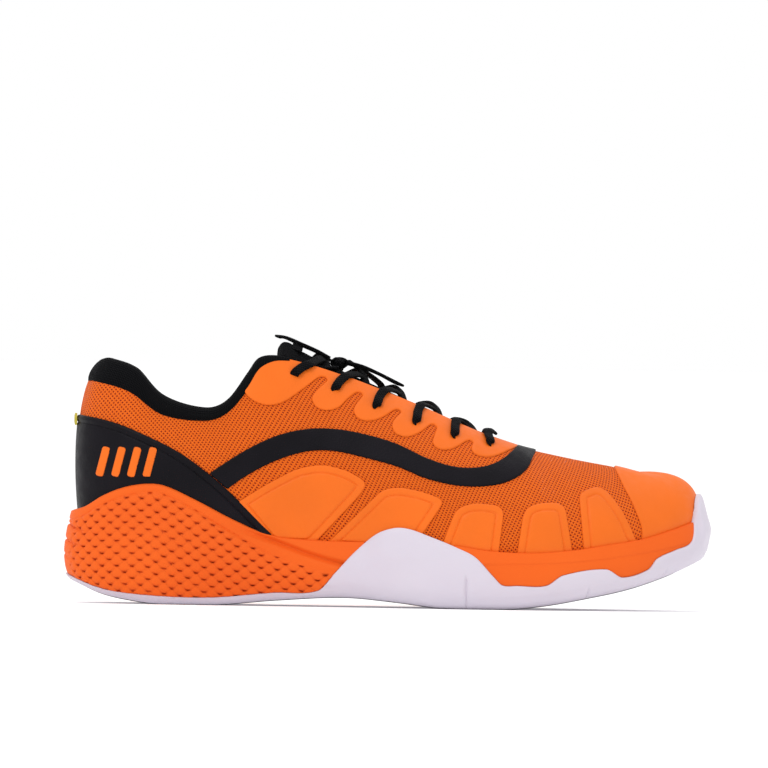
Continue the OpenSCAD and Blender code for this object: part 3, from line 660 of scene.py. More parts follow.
def scales(s, z):
    """Height of the overlapping scales of the heel at arc length s and height z, and the painted shade that
    darkens their notches and the low edges of each scale.
    """
    best, tilt, notch = np.full(np.shape(s), -9.0), np.zeros(np.shape(s)), np.zeros(np.shape(s))
    for row in (0, 1):
        q = z / SCALE_H + 0.5 * row
        p = s / SCALE_W + 0.5 * row
        a, b = (p - np.round(p)) * 2, (q - np.round(q)) * 2
        rise = 1 - np.abs(a) ** 1.2 - np.abs(b) ** 1.3
        tilt = np.where(rise > best, -b, tilt)
        best = np.maximum(best, rise)
        notch = np.maximum(notch, bell(a, 0, 0.32) * bell(b - 0.9 * a * a, -0.92, 0.15))
    body = np.clip(best, 0, 1) ** 0.42
    # painted shade: the notches between scales and the falling edge of each scale are darkened in colour
    # where shade would fall
    dark = np.clip(1.3 * notch + 0.45 * smooth(0.62, 0.2, body), 0, 1)
    return 0.85 * body + 0.22 * tilt * body - 1.1 * notch, dark


def midsole_relief(u, s, z, h):
    """How far the midsole's wall stands out: scales, heel folds, the flange and the forefoot's step; also, as
    a second value, the painted shade of the scales' notches.
    """
    a = np.abs(u)
    x = outline(u)[..., 0]
    below = feather(x) - z
    slant = z + 0.10 * (x + 110) * smooth(-125, -100, x)
    lip = value([[0, 4.2], [1, 4.8], [2, 4.6], [3, 4.2], [4, 5.5], [5, 9], [6, 16]], a)
    flange = value([[0, 60], [3, 60], [4, 38], [5, 27.5], [5.6, 21.5], [6.2, 17]], a)
    field = smooth(lip - 0.5, lip + 0.4, below) * smooth(6.15, 5.9, a) * smooth(flange + 0.5, flange - 2, z)
    field = field * smooth(0.55, 1.2, a)
    raised, dark = scales(s, slant)
    out = field * raised - 0.5 * bell(below, lip, 0.5) * smooth(5.2, 4.6, a)
    folds = sum(depth * bell(z + 0.9 * (a - 0.6) * 3, level, 0.75)
                for level, depth in ((34.6, 1.5), (27.6, 1.1), (20.8, 0.5)))
    channel = smooth(4.2, 5.0, a) * smooth(6.4, 6.2, a) * bell(z, flange + 1.8, 1.3)
    out = out - folds * smooth(1.9, 0.7, a) - 2.2 * channel
    step = value([[8, 19], [8.6, 20.6], [9.5, 21.2], [10.5, 23.4], [11.2, 26], [12, 29], [13, 33]], a)
    out = out - 0.45 * smooth(7.8, 8.2, a) * smooth(12.9, 12.5, a) * smooth(step + 0.5, step - 0.5, z)
    # the second value is painted shade in the scales' notches, for the foam's colour
    return out * smooth(0, 0.02, 1 - h), field * dark


def parting(u):
    """The outsole's upper edge as a part of the wall's height."""
    x = outline(u)[..., 0]
    z0 = ground(x) + TREAD_H
    return (wall_top(u) - z0) / (feather(x) - z0)


def floor_z(u):
    return ground(outline(u)[..., 0]) + TREAD_H + FLOOR_T


LANE_W, LUG_PITCH, GROOVE_DEPTH = 16, 7.5, 1.3
PIVOT_X, PIVOT_Y, PIVOT_R, RING_PITCH = 52, 4, 27, 6


def tread(x, y, t):
    """Underside: herringbone lugs with a pivot circle under the ball of the foot and a smooth rim."""
    lane = np.abs(((y + 60) / LANE_W) % 2 - 1) * LANE_W
    bars = smooth(0.30, 0.42, np.abs(((x + 0.8 * lane) / LUG_PITCH) % 1 - 0.5) * 2)
    r = np.hypot(x - PIVOT_X, y - PIVOT_Y)
    rings = smooth(0.25, 0.4, np.abs((r / RING_PITCH) % 1 - 0.5) * 2)
    pattern = np.where(r < PIVOT_R, rings, bars)
    pattern = np.maximum(pattern, smooth(0.8, 0.3, np.abs(r - PIVOT_R)))
    arch = smooth(-62, -50, x) * smooth(-2, -14, x)
    pattern = np.where(arch > 0.5, smooth(0.2, 0.5, np.abs((y / 9) % 1 - 0.5) * 2), pattern)
    rim = smooth(0.07, 0.04, np.minimum(t, 1 - t))
    lug = np.maximum(pattern, rim)
    return -TREAD_H * lug + GROOVE_DEPTH * (1 - lug) * smooth(0, 0.02, np.minimum(t, 1 - t))


# Cuts in the outsole's wall: depth, x, half width, and the heights where a cut ends and is whole.
WALL_CUTS = ((0.9, 37, 0.55, 16, 13), (1.0, 93, 0.6, 11, 9), (1.0, 128, 0.6, 20, 17.5))
OUTSOLE_ROWS = (0.02, 0.05, 0.09, 0.14, 0.2, 0.27, 0.34, 0.42, 0.5, 0.58, 0.66, 0.74, 0.82, 0.89, 0.94,
                0.975, 1.0)


def make_outsole():
    u = loop_columns(SOLE_COLUMNS)
    x = outline(u)[..., 0]
    top = parting(u)
    inner_d = OUTSOLE_WALL_T - WING_PROUD

    def groove(z):
        cut = sum(depth * bell(x, at, w) * smooth(z0, z1, z) for depth, at, w, z0, z1 in WALL_CUTS)
        return cut + 0.35 * smooth(5.6, 4.6, z - ground(x)) * smooth(4.5, 5.5, np.abs(u))

    full = 2.7 * smooth(1.0, 1.35, top)
    stack = [inset(u, 6.5, ground(x) + TREAD_H)]
    for t in OUTSOLE_ROWS:
        d = -WING_PROUD + 0.7 * smooth(0.93, 1.0, t) ** 2
        p = wall_point(u, t * top, 0)
        stack.append(wall_point(u, t * top, d + groove(p[:, 2]) - full * smooth(0.35, 0.9, t * top)))
    stack.append(wall_point(u, top, 0.6 * inner_d - full))
    for t in (1.0, 0.8, 0.6):
        p = wall_point(u, t * top, inner_d - 0.8 * full * smooth(1.0, 1.2, t * top))
        p[:, 2] = np.maximum(p[:, 2] - (0.25 if t == 1.0 else 0), floor_z(u) + 0.05)
        stack.append(p)
    stack.append(inset(u, 10, floor_z(u)))
    verts, faces = lofted(stack, across_first=110, across_last=8, shape_first=tread)
    add_piece("rubber_outsole", verts, faces, RUBBER, ["outsole"], "outsole_rubber", weld=WELD)


def make_midsole():
    u = loop_columns(SOLE_COLUMNS)
    x = outline(u)[..., 0]
    s = travelled(outline(u))
    side = OUTSOLE_WALL_T - WING_PROUD + 0.12
    low = np.minimum(parting(u), 0.98)
    cover = np.where(parting(u) < 0.98, 0.0, side)
    stack = [inset(u, 10.5, floor_z(u) + 0.1)]
    p = wall_point(u, low * 0.6, side + 0.3)
    p[:, 2] = np.maximum(p[:, 2], floor_z(u) + 0.2)
    stack += [p, wall_point(u, low, side)]
    # shade holds painted shade per point: the scales' notches are darkened in colour where shade would fall
    shade = [np.zeros(3 * len(u))]
    for t in np.linspace(0, 1, 84):
        h = low + (1 - low) * t
        p = wall_point(u, h, cover)
        rim = 1.1 * smooth(0.975, 1.0, t) ** 2 + 0.35 * smooth(0.02, 0, t)
        out, dark = midsole_relief(u, s, p[:, 2], h)
        stack.append(wall_point(u, h, cover + rim - out * (cover == 0)))
        shade.append(dark * (cover == 0))
    stack.append(inset(u, foot_inset(u) - 0.1, feather(x) - 0.1))
    stack.append(inset(u, foot_inset(u) + 0.45 * BOARD_STEP - 0.1, feather(x) * 0.55 + board(x) * 0.45))
    stack.append(inset(u, foot_inset(u) + BOARD_STEP - 0.1, board(x) - 1.4))
    verts, faces = lofted(stack, across_first=8, across_last=16)
    shade = np.concatenate(shade)
    shade = np.pad(shade, (0, len(verts) - len(shade)))
    add_piece("foam_midsole", verts, faces, FOAM, ["midsole"], "midsole_foam", weld=WELD, shade=shade)


def make_insole():
    u = loop_columns(240)
    x = outline(u)[..., 0]
    d = foot_inset(u) + BOARD_STEP + 3.1

    def dish(_x, _y, t):
        return -1.4 * smooth(0, 0.6, np.minimum(t, 1 - t) * 2)

    stack = [inset(u, d, board(x) + 0.15), inset(u, d - 0.3, board(x) + 2), inset(u, d, board(x) + 3.8),
             inset(u, d + 1.2, board(x) + 4.4)]
    verts, faces = lofted(stack, across_first=8, across_last=30, shape_last=dish)
    add_piece("removable_insole", verts, faces, INSOLE, ["insole"], "insole_fabric", uv=verts[:, :2],
              weld=WELD)


# ---- the upper ----

MESH_T, STIFFENER_T, LINING_T, COLLAR_PAD, FILM_T = 1.4, 1.1, 0.8, 5.0, 0.7
LINING_D = MESH_T + STIFFENER_T + 0.24
ROWS_LOW = [-1, -0.8, -0.6, -0.4, -0.2, 0]


def make_mesh():
    vs = np.concatenate([ROWS_LOW, np.linspace(0, 1, 72)[1:]])
    verts, faces, uv = layer_mesh(560, vs, -MESH_T, 0.0)
    add_piece("knit_mesh_upper", verts, faces, MESH, ["upper_mesh"], "knit_mesh", uv=uv, weld=WELD)


def make_lining():
    vs = np.concatenate([ROWS_LOW, np.linspace(0, 0.82, 48)[1:]])
    verts, faces, uv = layer_mesh(420, vs, -LINING_D - LINING_T, -LINING_D, COLLAR_PAD)
    add_piece("inner_lining_knit", verts, faces, KNIT, ["inner_lining"], "black_knit", uv=uv, weld=WELD)


# The overlays' outlines in side view: x and z, and a corner's own radius where it has one. After each
# outline comes the range of u that it covers.
PANELS = (
    ("waist_panel", [[-51, 27], [-67.5, 46.5, 2], [-55, 54.5], [-40, 62.8, 6], [-28, 64.6, 5], [-17, 61.6],
                     [-8, 56.5, 4], [-12, 50.5], [-33.5, 27]], 4.2, 7),
    ("mid_panel", [[-28, 27], [-1.5, 53.5, 3], [6, 54.8], [16, 53.0], [27, 49.2, 4], [17, 34], [12, 24]],
     5.6, 8.2),
    ("ball_panel", [[24, 24], [32, 45.5, 4], [40, 48.3, 4], [53.8, 46.8, 5], [51, 22]], 7.6, 9.2),
    ("front_panel", [[59, 20], [62.6, 45.6, 5], [69, 48.6, 4], [81, 48.6, 5], [85.5, 22]], 8.6, 10.6),
    ("toe_side_panel", [[90.5, 22], [87.4, 53, 3], [97, 57.4, 6], [107, 46.5, 9], [115.5, 28], [115, 22]],
     9.6, 12.0),
)
TOE_CAP = [[103, 66], [107.3, 57], [112, 48.5], [116.3, 38], [116, 22], [152, 22], [152, 70], [103, 70]]


def side_field(outline_xz, r=3.0):
    """Distance inside an outline drawn on the side view, the same through both sides of the shoe."""
    loop = rounded(outline_xz, r)
    return lambda P: inside_distance(loop, P[:, 0], P[:, 2])


def add_overlay(name, patch, outline_xz, material, nodes, slot, levels=RIM_LEVELS, height=plain_film()):
    verts, faces = overlay(patch, side_field(outline_xz), levels, height)
    add_piece(name, verts, faces, material, nodes, slot)


def side_range(side, u0, u1):
    return (-u1, -u0) if side < 0 else (u0, u1)


SIDES = ((-1, "lateral"), (1, "medial"))


def make_panels():
    for side, word in SIDES:
        for name, xz, u0, u1 in PANELS:
            patch = skin_patch(*side_range(side, u0, u1), -0.15, 0.85)
            add_overlay(f"{name}_{word}", patch, xz, FILM, [f"side_panels_{word}"], "film", PANEL_LEVELS,
                        panel_height)
    add_overlay("toe_cap_film", skin_patch(10.4, 17.6, -0.15, 1.0), TOE_CAP, FILM, ["toe_cap"], "film")


# The lobes round the middle lace holes: left end x and z, width, depth, and the rise of the slot after it.
LOBES = ((-34.5, 94, 24, 5.5, 3.5), (-15.5, 89, 22.5, 5, 1), (2, 82.5, 21, 5.5, 1), (20.5, 75.5, 19, 4, 1))
HOLES_U = [6.2, 6.85, 7.45, 8, 8.55, 9.1]
HOLES_V = [0.89, 0.855, 0.82, 0.80, 0.80, 0.84]


def make_eyestays():
    """Film round the lace holes: a lobe round each hole and a rounded slot of mesh up between each two."""
    outline_xz = [[-70, 118], [-66, 101, 4], [-64.5, 95.5, 3], [-59.5, 92, 5], [-53.5, 90.5, 6], [-47, 92, 6],
                  [-40, 97, 6], [-30.5, 104.5, 2.2], [-26.5, 103, 2.2]]
    for x, z, wide, deep, slot in LOBES:
        outline_xz += [[x + 0.05 * wide, z + 2.7, 3], [x, z, 3], [x + 0.07 * wide, z - 0.68 * deep, 4],
                       [x + 0.28 * wide, z - deep, 5], [x + 0.53 * wide, z - 0.75 * deep, 5],
                       [x + 0.69 * wide, z + slot - 0.55 * deep, 4], [x + 0.86 * wide, z + slot, 2],
                       [x + wide, z + slot - 1, 2]]
    outline_xz += [[38, 72.5, 3], [39.5, 70, 4], [45, 68.5, 5], [50.5, 69.5, 4], [56.5, 72.5, 3], [63, 75, 3],
                   [60, 90], [40, 122], [-66, 130]]
    for side, word in SIDES:
        patch = skin_patch(*side_range(side, 5, 9.85), 0.5, 1.0, 0.8)
        add_overlay(f"eyestay_film_{word}", patch, outline_xz, FILM, [f"eyestay_{word}"], "film")


BAND = [[-80.2, 59.6, 0.5], [-65, 70, 9], [-50, 77.6, 9], [-35, 81, 9], [-20.6, 80.6, 9], [-6, 77.6, 8],
        [6, 74, 7], [17, 68.2, 7], [31, 63.8, 7], [43, 63.9, 6], [52, 67.2, 5], [59, 73.6, 2], [62, 80, 1],
        [72, 80, 1], [66.8, 70, 2], [63.6, 62.6, 5], [55, 57.4, 6], [43.6, 55.3, 7], [31, 55.7, 7],
        [16, 59.2, 7], [6, 64, 7], [-11, 68.2, 8], [-24, 71, 8], [-36, 70.7, 8], [-50, 66.2, 9],
        [-63, 59.2, 9], [-71.8, 52.6, 0.5]]
HEEL = [[-152, 30], [-152, 86.2], [-138, 85.2, 6], [-123, 82.2, 9], [-109, 76.4, 9], [-94, 69.4, 9],
        [-80.4, 59.8, 9], [-69, 50, 9], [-50.6, 31.9, 1], [-62, 31.5], [-80, 28], [-120, 28]]


def make_black_parts():
    """The band that runs up from the heel and over the front of the throat, and the piece round the heel."""
    add_overlay("black_side_band", skin_patch(3.2, 24.8, 0.1, 1.0, 0.8), BAND, SYNTHETIC, ["side_band"],
                "black_synthetic", height=plain_film(0.75))
    add_overlay("black_heel_overlay", skin_patch(-6.3, 6.3, -0.12, 0.86, 0.85), HEEL, SYNTHETIC,
                ["heel_overlay"], "black_synthetic", HEEL_LEVELS, heel_height)


BADGE_BAR = ((-2.2, 58), (1, 71.2), (4.4, 70.4), (1.2, 57.2))
BADGE_X = (-129, -122, -115, -108)


def make_badge():
    """Plain raised bars where the heel carries its lettering."""
    bars = []
    for side, _ in SIDES:
        patch = skin_patch(*side_range(side, 0.35, 3.4), 0.1, 0.72, 0.7)
        for x in BADGE_X:
            loop = [[x + dx, z] for dx, z in BADGE_BAR]
            bars.append(overlay(patch, side_field(loop, 1.2), (0.12, 0.3), plain_film(0.45), base=0.9))
    verts, faces = joined(bars)
    add_piece("heel_badge_bars", verts, faces, FILM, ["heel_badge"], "film")


def make_tag():
    """Folded woven tag caught in the seam at the back of the heel."""
    y = np.linspace(-3.6, 3.6, 10)
    section = [(-0.1, -2.6), (-1.0, -2.7), (-1.35, -1.4), (-1.35, 1.4), (-1.0, 2.7), (-0.1, 2.6)]
    at = upper(np.zeros(1), np.array([0.56]))[0]
    verts = [[at[0] - 0.95 + a, yy, at[2] + b + 0.1 * math.sin(yy)] for yy in y for a, b in section]
    n = len(section)
    ends = [list(range(n)), [(len(y) - 1) * n + i for i in range(n - 1, -1, -1)]]
    faces = list(quads(len(y), n, loop=True)) + ends
    add_piece("heel_tag_fold", verts, faces, TAG, ["heel_tag"], "tag_fabric")


def tube_mesh(sections):
    """Closed tube through a list of equal rings."""
    n = len(sections[0])
    faces = [list(f) for f in quads(len(sections), n, loop=True)]
    faces += [list(range(n))[::-1], [(len(sections) - 1) * n + i for i in range(n)]]
    return np.concatenate(sections), faces


COLLAR_END = 6.12
# How far the collar's knit comes down outside the mesh.
BAND_DROP = [[0, 13], [1, 12.4], [2, 10.5], [3, 6.2], [4, 3.4], [4.6, 3.2], [5.2, 6.2], [5.6, 5.4],
             [5.9, 3.4], [6.15, 1.4]]


def make_collar():
    """Padded knit that starts outside the mesh, rolls over the collar and goes down inside."""
    sections = []
    for u in np.linspace(-COLLAR_END, COLLAR_END, 340):
        P = upper(u, np.linspace(0, 1, 60))
        lip_v = 1 - float(value(BAND_DROP, abs(u))) / steps(P).sum()
        outer = upper(u, np.linspace(lip_v, 1, 8), [0.15, 0.75, 1.0, 1.1, 1.15, 1.15, 1.1, 1.0])
        n, rise = upper_normal([u], [1])[0], unit(P[-1] - P[-4])
        pad = COLLAR_PAD * float(padding(u, 1.0))
        w = (LINING_D + LINING_T + pad) / 2
        a = np.linspace(0.12, np.pi - 0.25, 12)[:, None]
        arc = (P[-1] - n * (w - 0.5) + n * (w + 0.55) * np.cos(a)
               + rise * (1.6 + 2.6 * pad / COLLAR_PAD) * np.sin(a))
        in_v = np.linspace(0.99, 0.76, 8)
        in_d = LINING_D + LINING_T + COLLAR_PAD * padding(u, in_v) + 0.5
        back = upper(u, [0.76, 0.9, 0.985], [-in_d[-1] + 0.6, -0.9 * in_d[2], -MESH_T - 0.2])
        under = upper(u, [0.998, lip_v], [0.12, 0.05])
        cap = P[-1] + rise * 0.12
        sections.append(np.concatenate([outer, arc, upper(u, in_v, -in_d), back, [cap], under]))
    verts, faces = tube_mesh(sections)
    rows = np.repeat(np.arange(len(sections)), len(sections[0]))
    ring = travelled(sections[len(sections) // 2])
    uv = np.stack([rows * 0.62, np.tile(ring, len(sections))], -1)
    piece = add_piece("padded_collar", verts, faces, KNIT, ["collar_lining"], "black_knit", uv=uv, weld=WELD)


# ---- the tongue ----

# The tongue's ridge: part of its length, x, z, half width, and how far its edges fall below the ridge.
TONGUE = [[0, 56, 66.5, 11, 2.5], [0.12, 45, 75.6, 13.5, 5], [0.3, 24, 86.8, 15.5, 8],
          [0.5, 0, 98, 16.5, 10.5], [0.7, -22, 107.4, 17, 12.5], [0.86, -38, 114.8, 17, 11.5],
          [0.95, -45, 119.4, 16, 10], [1, -48.5, 120.8, 14, 8]]
TONGUE_T, TONGUE_HALF_W, TONGUE_LENGTH = 5.2, 22, 125


def tongue_point(a, b, d):
    a, b = spread(a, b)
    c = curve(TONGUE, a)
    e = unit((curve(TONGUE, np.clip(a + 0.02, 0, 1)) - curve(TONGUE, np.clip(a - 0.02, 0, 1)))[..., :2])
    fall = c[..., 3] * np.abs(b) ** 1.7
    lean = b * 0.75 * c[..., 3] / c[..., 2]
    lean = lean / np.sqrt(1 + lean**2)
    up = unit(np.stack([e[..., 1], lean, -e[..., 0]], -1))
    return np.stack([c[..., 0], b * c[..., 2], c[..., 1] - fall], -1) + up * np.asarray(d, float)[..., None]


def make_tongue():
    """Padded tongue: knit face with sewn channels, a bound edge and a lining."""
    n_a, n_b = 200, 70
    A, B = np.meshgrid(np.linspace(0, 1, n_a), np.linspace(-1, 1, n_b), indexing="ij")
    edge = (1 - np.abs(B)) * TONGUE_HALF_W
    tip = (1 - A) * 60
    crown = smooth(0, 3.0, edge) * smooth(-0.5, 4, tip)
    seam = bell(edge, 3.4, 0.5) + bell(tip, 7, 0.6) * smooth(3.4, 4, edge)
    channels = sum(bell(B * TONGUE_HALF_W, y, 0.55) for y in (-7.5, 7.5))
    channels = channels * smooth(0.74, 0.80, A) * smooth(7, 8.5, tip)
    top = 1.1 * crown - 0.7 * np.clip(seam + channels, 0, 1) * crown - 1.0
    bottom = -TONGUE_T - 3.4 * smooth(0.8, 0.97, A) + 0.9 * (1 - crown)
    near = np.clip(np.minimum((1 - A) * TONGUE_LENGTH, edge) / 3.2, 0, 1)
    full = 0.12 + 0.88 * np.sqrt(1 - (1 - near) ** 2)
    center = (top + bottom) / 2
    top, bottom = center + (top - center) * full, center + (bottom - center) * full
    face, back = tongue_point(A, B, top), tongue_point(A, B, bottom)
    middle = tongue_point(A, B, (top + bottom) / 2)
    half = n_a * n_b
    rim = np.concatenate([np.arange(n_b), (np.arange(1, n_a) + 1) * n_b - 1,
                          (n_a - 1) * n_b + np.arange(n_b - 2, -1, -1), np.arange(n_a - 2, 0, -1) * n_b])
    following = np.roll(rim, -1)
    faces = np.concatenate([quads(n_a, n_b), quads(n_a, n_b, half, flip=True),
                            np.stack([rim, following, following + half, rim + half], -1)])
    uv = np.tile(np.stack([A * TONGUE_LENGTH, B * 24], -1).reshape(-1, 2), (2, 1))
    for name, outer, inner, nodes in (
            ("tongue_face_knit", face, middle, ["tongue_face", "tongue_foam"]),
            ("tongue_lining_knit", middle - (face - middle) * 0.02, back, ["tongue_lining"])):
        verts = np.concatenate([outer.reshape(-1, 3), inner.reshape(-1, 3)])
        add_piece(name, verts, faces, KNIT, nodes, "black_knit", "tongue", uv=uv)


# ---- laces ----

LACE_W, LACE_T = 4.2, 1.6
KNOT = (-22, 0, 110.2)
OVER = FILM_T + 0.12 + LACE_T / 2 + 0.22
UNDER = -(LINING_D + LINING_T + LACE_T / 2 + 0.4)


def tongue_z(x):
    return float(np.interp(x, *zip(*sorted((r[1], r[2]) for r in TONGUE))))


def hole(i, side, d):
    return upper(side * HOLES_U[i], HOLES_V[i], d)


def crossing(i, side):
    """Route from lace hole i on one side over the tongue and into the next hole down on the other."""
    ua, ub, va = HOLES_U[i], HOLES_U[i + 1], HOLES_V[i]
    lean = (0.26, 0.2, 0.16, 0.14, 0.12)[i]
    na, nb = upper_normal(side * ua, 0.95), upper_normal(-side * ub, 0.95)
    rise = (2.4 if side < 0 else 4.3) + (-1.2, -0.8, -0.9, -0.6, -0.4)[i]
    a, b = upper(side * (ua + lean), 1, OVER), upper(-side * (ub - 0.04), 1, UNDER)
    x = a[0] * 0.4 + b[0] * 0.6 + 0.8
    return [(hole(i, side, OVER), na), (upper(side * (ua + lean / 2), (va + 1) / 2, OVER), na),
            (a, unit(na + 0.4 * UP)),
            (np.array([x, (a[1] + b[1]) / 2, tongue_z(x) + rise]), unit(UP + [0.8, 0, 0])),
            (b + [0, 0, 0.4], unit(nb + 0.6 * UP)), (upper(-side * (ub - 0.02), 0.95, UNDER), nb),
            (hole(i + 1, -side, UNDER), nb)]


def lace_route():
    def whole(side):
        u, n = HOLES_U[0], upper_normal(side * HOLES_U[0], 0.95)
        route = [(np.array(KNOT) + [-1, side * 4.6, -1.8], UP),
                 (upper(side * (u + 0.12), 1, UNDER) + [0, 0, 0.4], unit(n + [0, 0, 0.6])),
                 (upper(side * (u + 0.03), 0.95, UNDER), n), (hole(0, side, UNDER), n)]
        for i in range(5):
            route += crossing(i, side * (-1) ** i)
        u, n = HOLES_U[5], upper_normal(-side * HOLES_U[5], 0.95)
        return route + [(hole(5, -side, OVER), n), (upper(-side * (u + 0.03), 0.94, OVER), n),
                        (upper(-side * (u + 0.05), 1, OVER) + [0, 0, 0.8], unit(n + [0, 0, 1.0]))]

    middle = [(np.array([48.5, 0, 80.4]), unit(np.array([0.8, 0, 1.0])))]
    return whole(1) + middle + whole(-1)[::-1]


STRAP_SIDES = 14


def strap_mesh(route, width, thick, step=0.7):
    """A flat strap with round edges, swept along a smooth curve through the route's points."""
    points, ups = np.array([p for p, _ in route], float), np.array([n for _, n in route], float)
    s = travelled(points)
    t = np.linspace(0, s[-1], max(8, int(s[-1] / step)))
    P = curve(np.column_stack([s, points]), t)
    U = unit(curve(np.column_stack([s, ups]), t))
    D = unit(np.gradient(P, axis=0))
    S = unit(np.cross(D, U))
    U = np.cross(S, D)
    a = 2 * np.pi * (np.arange(STRAP_SIDES) + 0.5) / STRAP_SIDES
    ca, sa = np.cos(a), np.sin(a)
    across, up = np.sign(ca) * np.abs(ca) ** 0.75, np.sign(sa) * np.abs(sa) ** 0.55
    rings = [p + np.outer(across, w) * width / 2 + np.outer(up, u) * thick / 2 for p, w, u in zip(P, S, U)]
    verts, faces = tube_mesh(rings)
    around = np.where(sa > 0, ca, -ca) * width / 2
    uv = np.stack([np.repeat(t, STRAP_SIDES), np.tile(around, len(t))], -1)
    return verts, faces, uv, P


BOW_W, BOW_T = 3.4, 1.3
UP_TILT = unit(np.array([0.35, 0, 1.0]))
LOOP_REAR = [[-26, 1, 111.6], [-32, 3, 115], [-40, 5, 118.4], [-47, 7, 121.6], [-50, 4, 122],
             [-46, 0, 121.6], [-39, -1, 118.8], [-32, -1, 115.8], [-26.4, -2, 112.8]]
LOOP_FRONT = [[-18, 1, 110], [-12, 4, 108.6], [-4, 6, 105.6], [3, 6, 102], [6, 3, 101],
              [3, 0, 102.6], [-4, -1, 106], [-11, -1, 109], [-17.6, -2, 110.8]]
END_A = [[6.9, 1.02], [6.75, 0.92], [6.55, 0.8], [6.35, 0.68], [6.2, 0.56], [6.1, 0.46]]
END_B = [[7.5, 1.02], [7.6, 0.9], [7.65, 0.78], [7.6, 0.66], [7.5, 0.54], [7.45, 0.46]]
END_D = OVER + LACE_T + 0.3


def end_route(e, y0, x0):
    route = [(np.array([x0, y0, KNOT[2] + 1.2]), unit(np.array([0.2, 0.2, 1])))]
    return route + [(upper(u, min(v, 1), END_D), upper_normal(u, v)) for u, v in e]


def make_laces():
    verts, faces, uv, _ = strap_mesh(lace_route(), LACE_W, LACE_T)
    add_piece("lace_through_the_holes", verts, faces, LACE, ["lace"], "lace_fabric", uv=uv)
    rear, front = ([(np.array(p, float), UP_TILT) for p in loop] for loop in (LOOP_REAR, LOOP_FRONT))
    cords = [("bow_loop_rear", rear, "lace_loop_rear", "object"),
             ("bow_loop_front", front, "lace_loop_front", "object"),
             ("lace_end_a", end_route(END_A, 6, -22), "lace_end_lateral", "fitting"),
             ("lace_end_b", end_route(END_B, 6, -18), "lace_end_medial", "fitting")]
    for name, route, node, far_end in cords:
        verts, faces, uv, path = strap_mesh(route, BOW_W, BOW_T)
        piece = add_piece(name, verts, faces, LACE, [node], "lace_fabric", uv=uv)
        aglet = [make_aglet(name, path)] if far_end == "fitting" else []


# Distance past the lace's end, and radius.
AGLET_PROFILE = ((-1.5, 1.1), (-1.4, 1.42), (-0.6, 1.45), (0.2, 1.3), (6, 1.24), (12.4, 1.18), (13.2, 1.05),
                 (13.5, 0.6))


def make_aglet(name, path):
    """Wrapped plastic tip, a little wider where it grips the lace."""
    d = unit(path[-1] - path[-3])
    side = unit(np.cross(d, [0.1, 0.9, 0.3]))
    up = np.cross(side, d)
    a = 2 * np.pi * np.arange(20) / 20
    rings = []
    for t, r in AGLET_PROFILE:
        rings.append(path[-1] + d * t + np.outer(np.cos(a), side) * r + np.outer(np.sin(a), up) * r)
    verts, faces = tube_mesh(rings)
    return add_piece(f"aglet_of_{name}", verts, faces, AGLET, ["aglets"], "aglet_plastic")


def make_knot():
    """The bow's knot: a band wrapped round two crossing turns."""
    turns, uvs = [], []
    c = np.array(KNOT, float) + [0, 0, 0.3]
    for tilt, r, dx, width in ((0.5, 2.3, -0.8, 3.6), (-0.5, 2.3, 0.8, 3.6), (1.57, 2.9, 0.0, 3.4)):
        ax = unit(np.array([math.cos(tilt), math.sin(tilt), -0.3 * math.cos(tilt)]))
        e1 = unit(np.cross(ax, [0, 0, 1.0]))
        e2 = np.cross(e1, ax)
        route = []
        for t in np.linspace(0, 2 * np.pi * 0.97, 26):
            out = e1 * math.cos(t) * 1.25 + e2 * math.sin(t) * 0.72
            route.append((c + ax * dx + out * r, unit(out)))
        verts, faces, uv, _ = strap_mesh(route, width, 1.2, step=0.5)
        turns.append((verts, faces))
        uvs.append(uv)
    add_piece("bow_knot", *joined(turns), LACE, ["lace_knot"], "lace_fabric", uv=np.concatenate(uvs))


def make_keeper():
    """Webbing loop on the tongue that the lace would pass through."""
    b = np.linspace(-0.34, 0.34, 16)
    lift = 0.45 + 0.8 * np.cos(b / 0.34 * np.pi / 2) ** 0.7
    route = [(tongue_point(0.905, k, h), np.array([0.35, 0, 1.0])) for k, h in zip(b, lift)]
    verts, faces, uv, _ = strap_mesh(route, 5.0, 0.9)
    add_piece("tongue_webbing_loop", verts, faces, LACE, ["tongue_lace_keeper"], "webbing", "tongue", uv=uv)


# ---- camera, light and floor ----


CAMERA_FAR = 12.0
CAMERA_TILT, CAMERA_ROLL = math.radians(0.2), math.radians(0.9)
AIM_X, AIM_Y, AIM_Z = -0.0016, -0.045, 0.1014
FRAME_PER_LENGTH = 1.188
SENSOR = 36
FLOOR_SPAN = 40.0
PAPER, PAPER_GLOW = 1.13, 0.14
LIGHTS = (("key", (-0.8, -1.2, 2.0), 13, 0.6), ("top", (0.3, 0.4, 2.2), 6, 1.2))


def add_object(name, data):
    obj = bpy.data.objects.new(name, data)
    bpy.context.collection.objects.link(obj)
    return obj


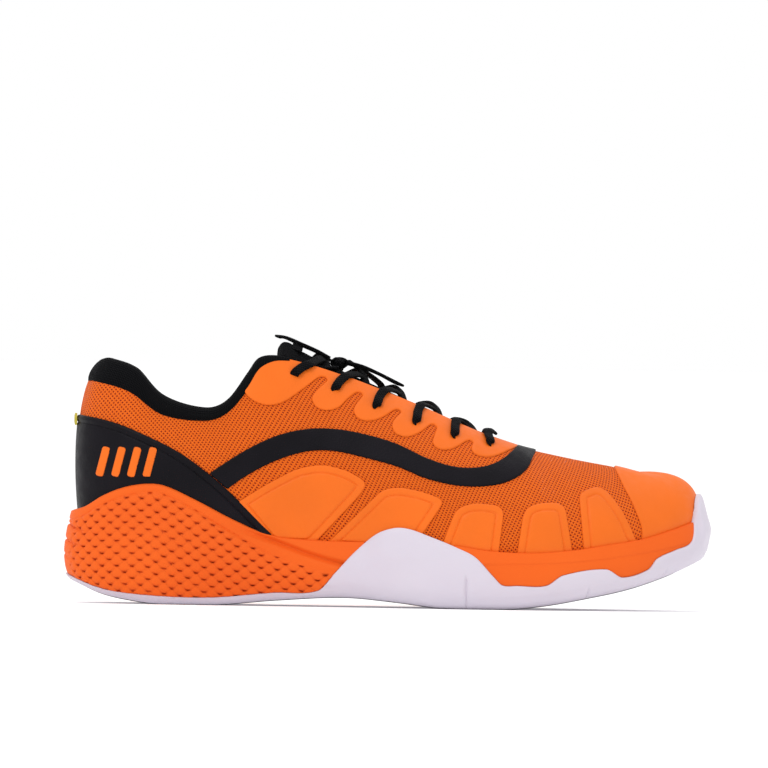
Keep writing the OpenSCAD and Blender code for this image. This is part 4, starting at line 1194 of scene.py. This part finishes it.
def make_camera():
    """Side view from far off, so that the shoe looks as flat as in the photograph."""
    data = bpy.data.cameras.new("camera")
    data.lens_unit = "MILLIMETERS"
    data.sensor_width = SENSOR
    data.lens = SENSOR * CAMERA_FAR / ((cad_box[1][0] - cad_box[0][0]) * FRAME_PER_LENGTH)
    data.clip_end = 50
    camera = add_object("camera", data)
    camera.location = (AIM_X, AIM_Y - CAMERA_FAR, AIM_Z + CAMERA_FAR * math.tan(CAMERA_TILT))
    camera.rotation_euler = (math.pi / 2 - CAMERA_TILT, 0, 0)
    camera.rotation_euler.rotate_axis("Z", CAMERA_ROLL)
    bpy.context.scene.camera = camera


def make_stage():
    bpy.context.scene.view_settings.view_transform = "Standard"
    make_camera()
    mesh = bpy.data.meshes.new("floor")
    corners = [(x * FLOOR_SPAN, y * FLOOR_SPAN, 0) for x, y in ((-1, -1), (1, -1), (1, 1), (-1, 1))]
    mesh.from_pydata(corners, [], [(0, 1, 2, 3)])
    floor = add_object("floor", mesh)
    paper = Nodes("white paper", (PAPER, PAPER, PAPER), 0.9, 0.1)
    paper.shader.inputs["Emission Color"].default_value = (1, 1, 1, 1)
    paper.shader.inputs["Emission Strength"].default_value = PAPER_GLOW
    mesh.materials.append(paper.material)

    world = bpy.data.worlds.new("studio")
    bpy.context.scene.world = world
    world.use_nodes = True
    background = world.node_tree.nodes["Background"]
    background.inputs[0].default_value = (1, 1, 1, 1)
    background.inputs[1].default_value = 1.0
    for name, at, power, size in LIGHTS:
        light = bpy.data.lights.new(name, "AREA")
        light.energy, light.size = power, size
        lamp = add_object(name, light)
        lamp.location = at
        lamp.rotation_euler = (Vector((0, 0, 0.05)) - Vector(at)).to_track_quat("-Z", "Y").to_euler()


def finish_hidden():
    """The pieces inside the shoe keep their CAD shape and get their own material."""
    for node, material in (("torsion_shank", SHANK), ("strobel_board", BOARD_FABRIC),
                           ("heel_counter", STIFFENER), ("toe_puff", STIFFENER), ("collar_foam", GREY_FOAM)):
        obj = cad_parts[node]
        for slot in obj.material_slots:
            slot.material = material
        if not obj.material_slots:
            obj.data.materials.append(material)


for make in (make_stage, make_outsole, make_midsole, make_insole, make_mesh, make_lining, make_collar,
             make_panels, make_eyestays, make_black_parts, make_badge, make_tag, make_tongue, make_keeper,
             make_laces, make_knot, finish_hidden):
    make()
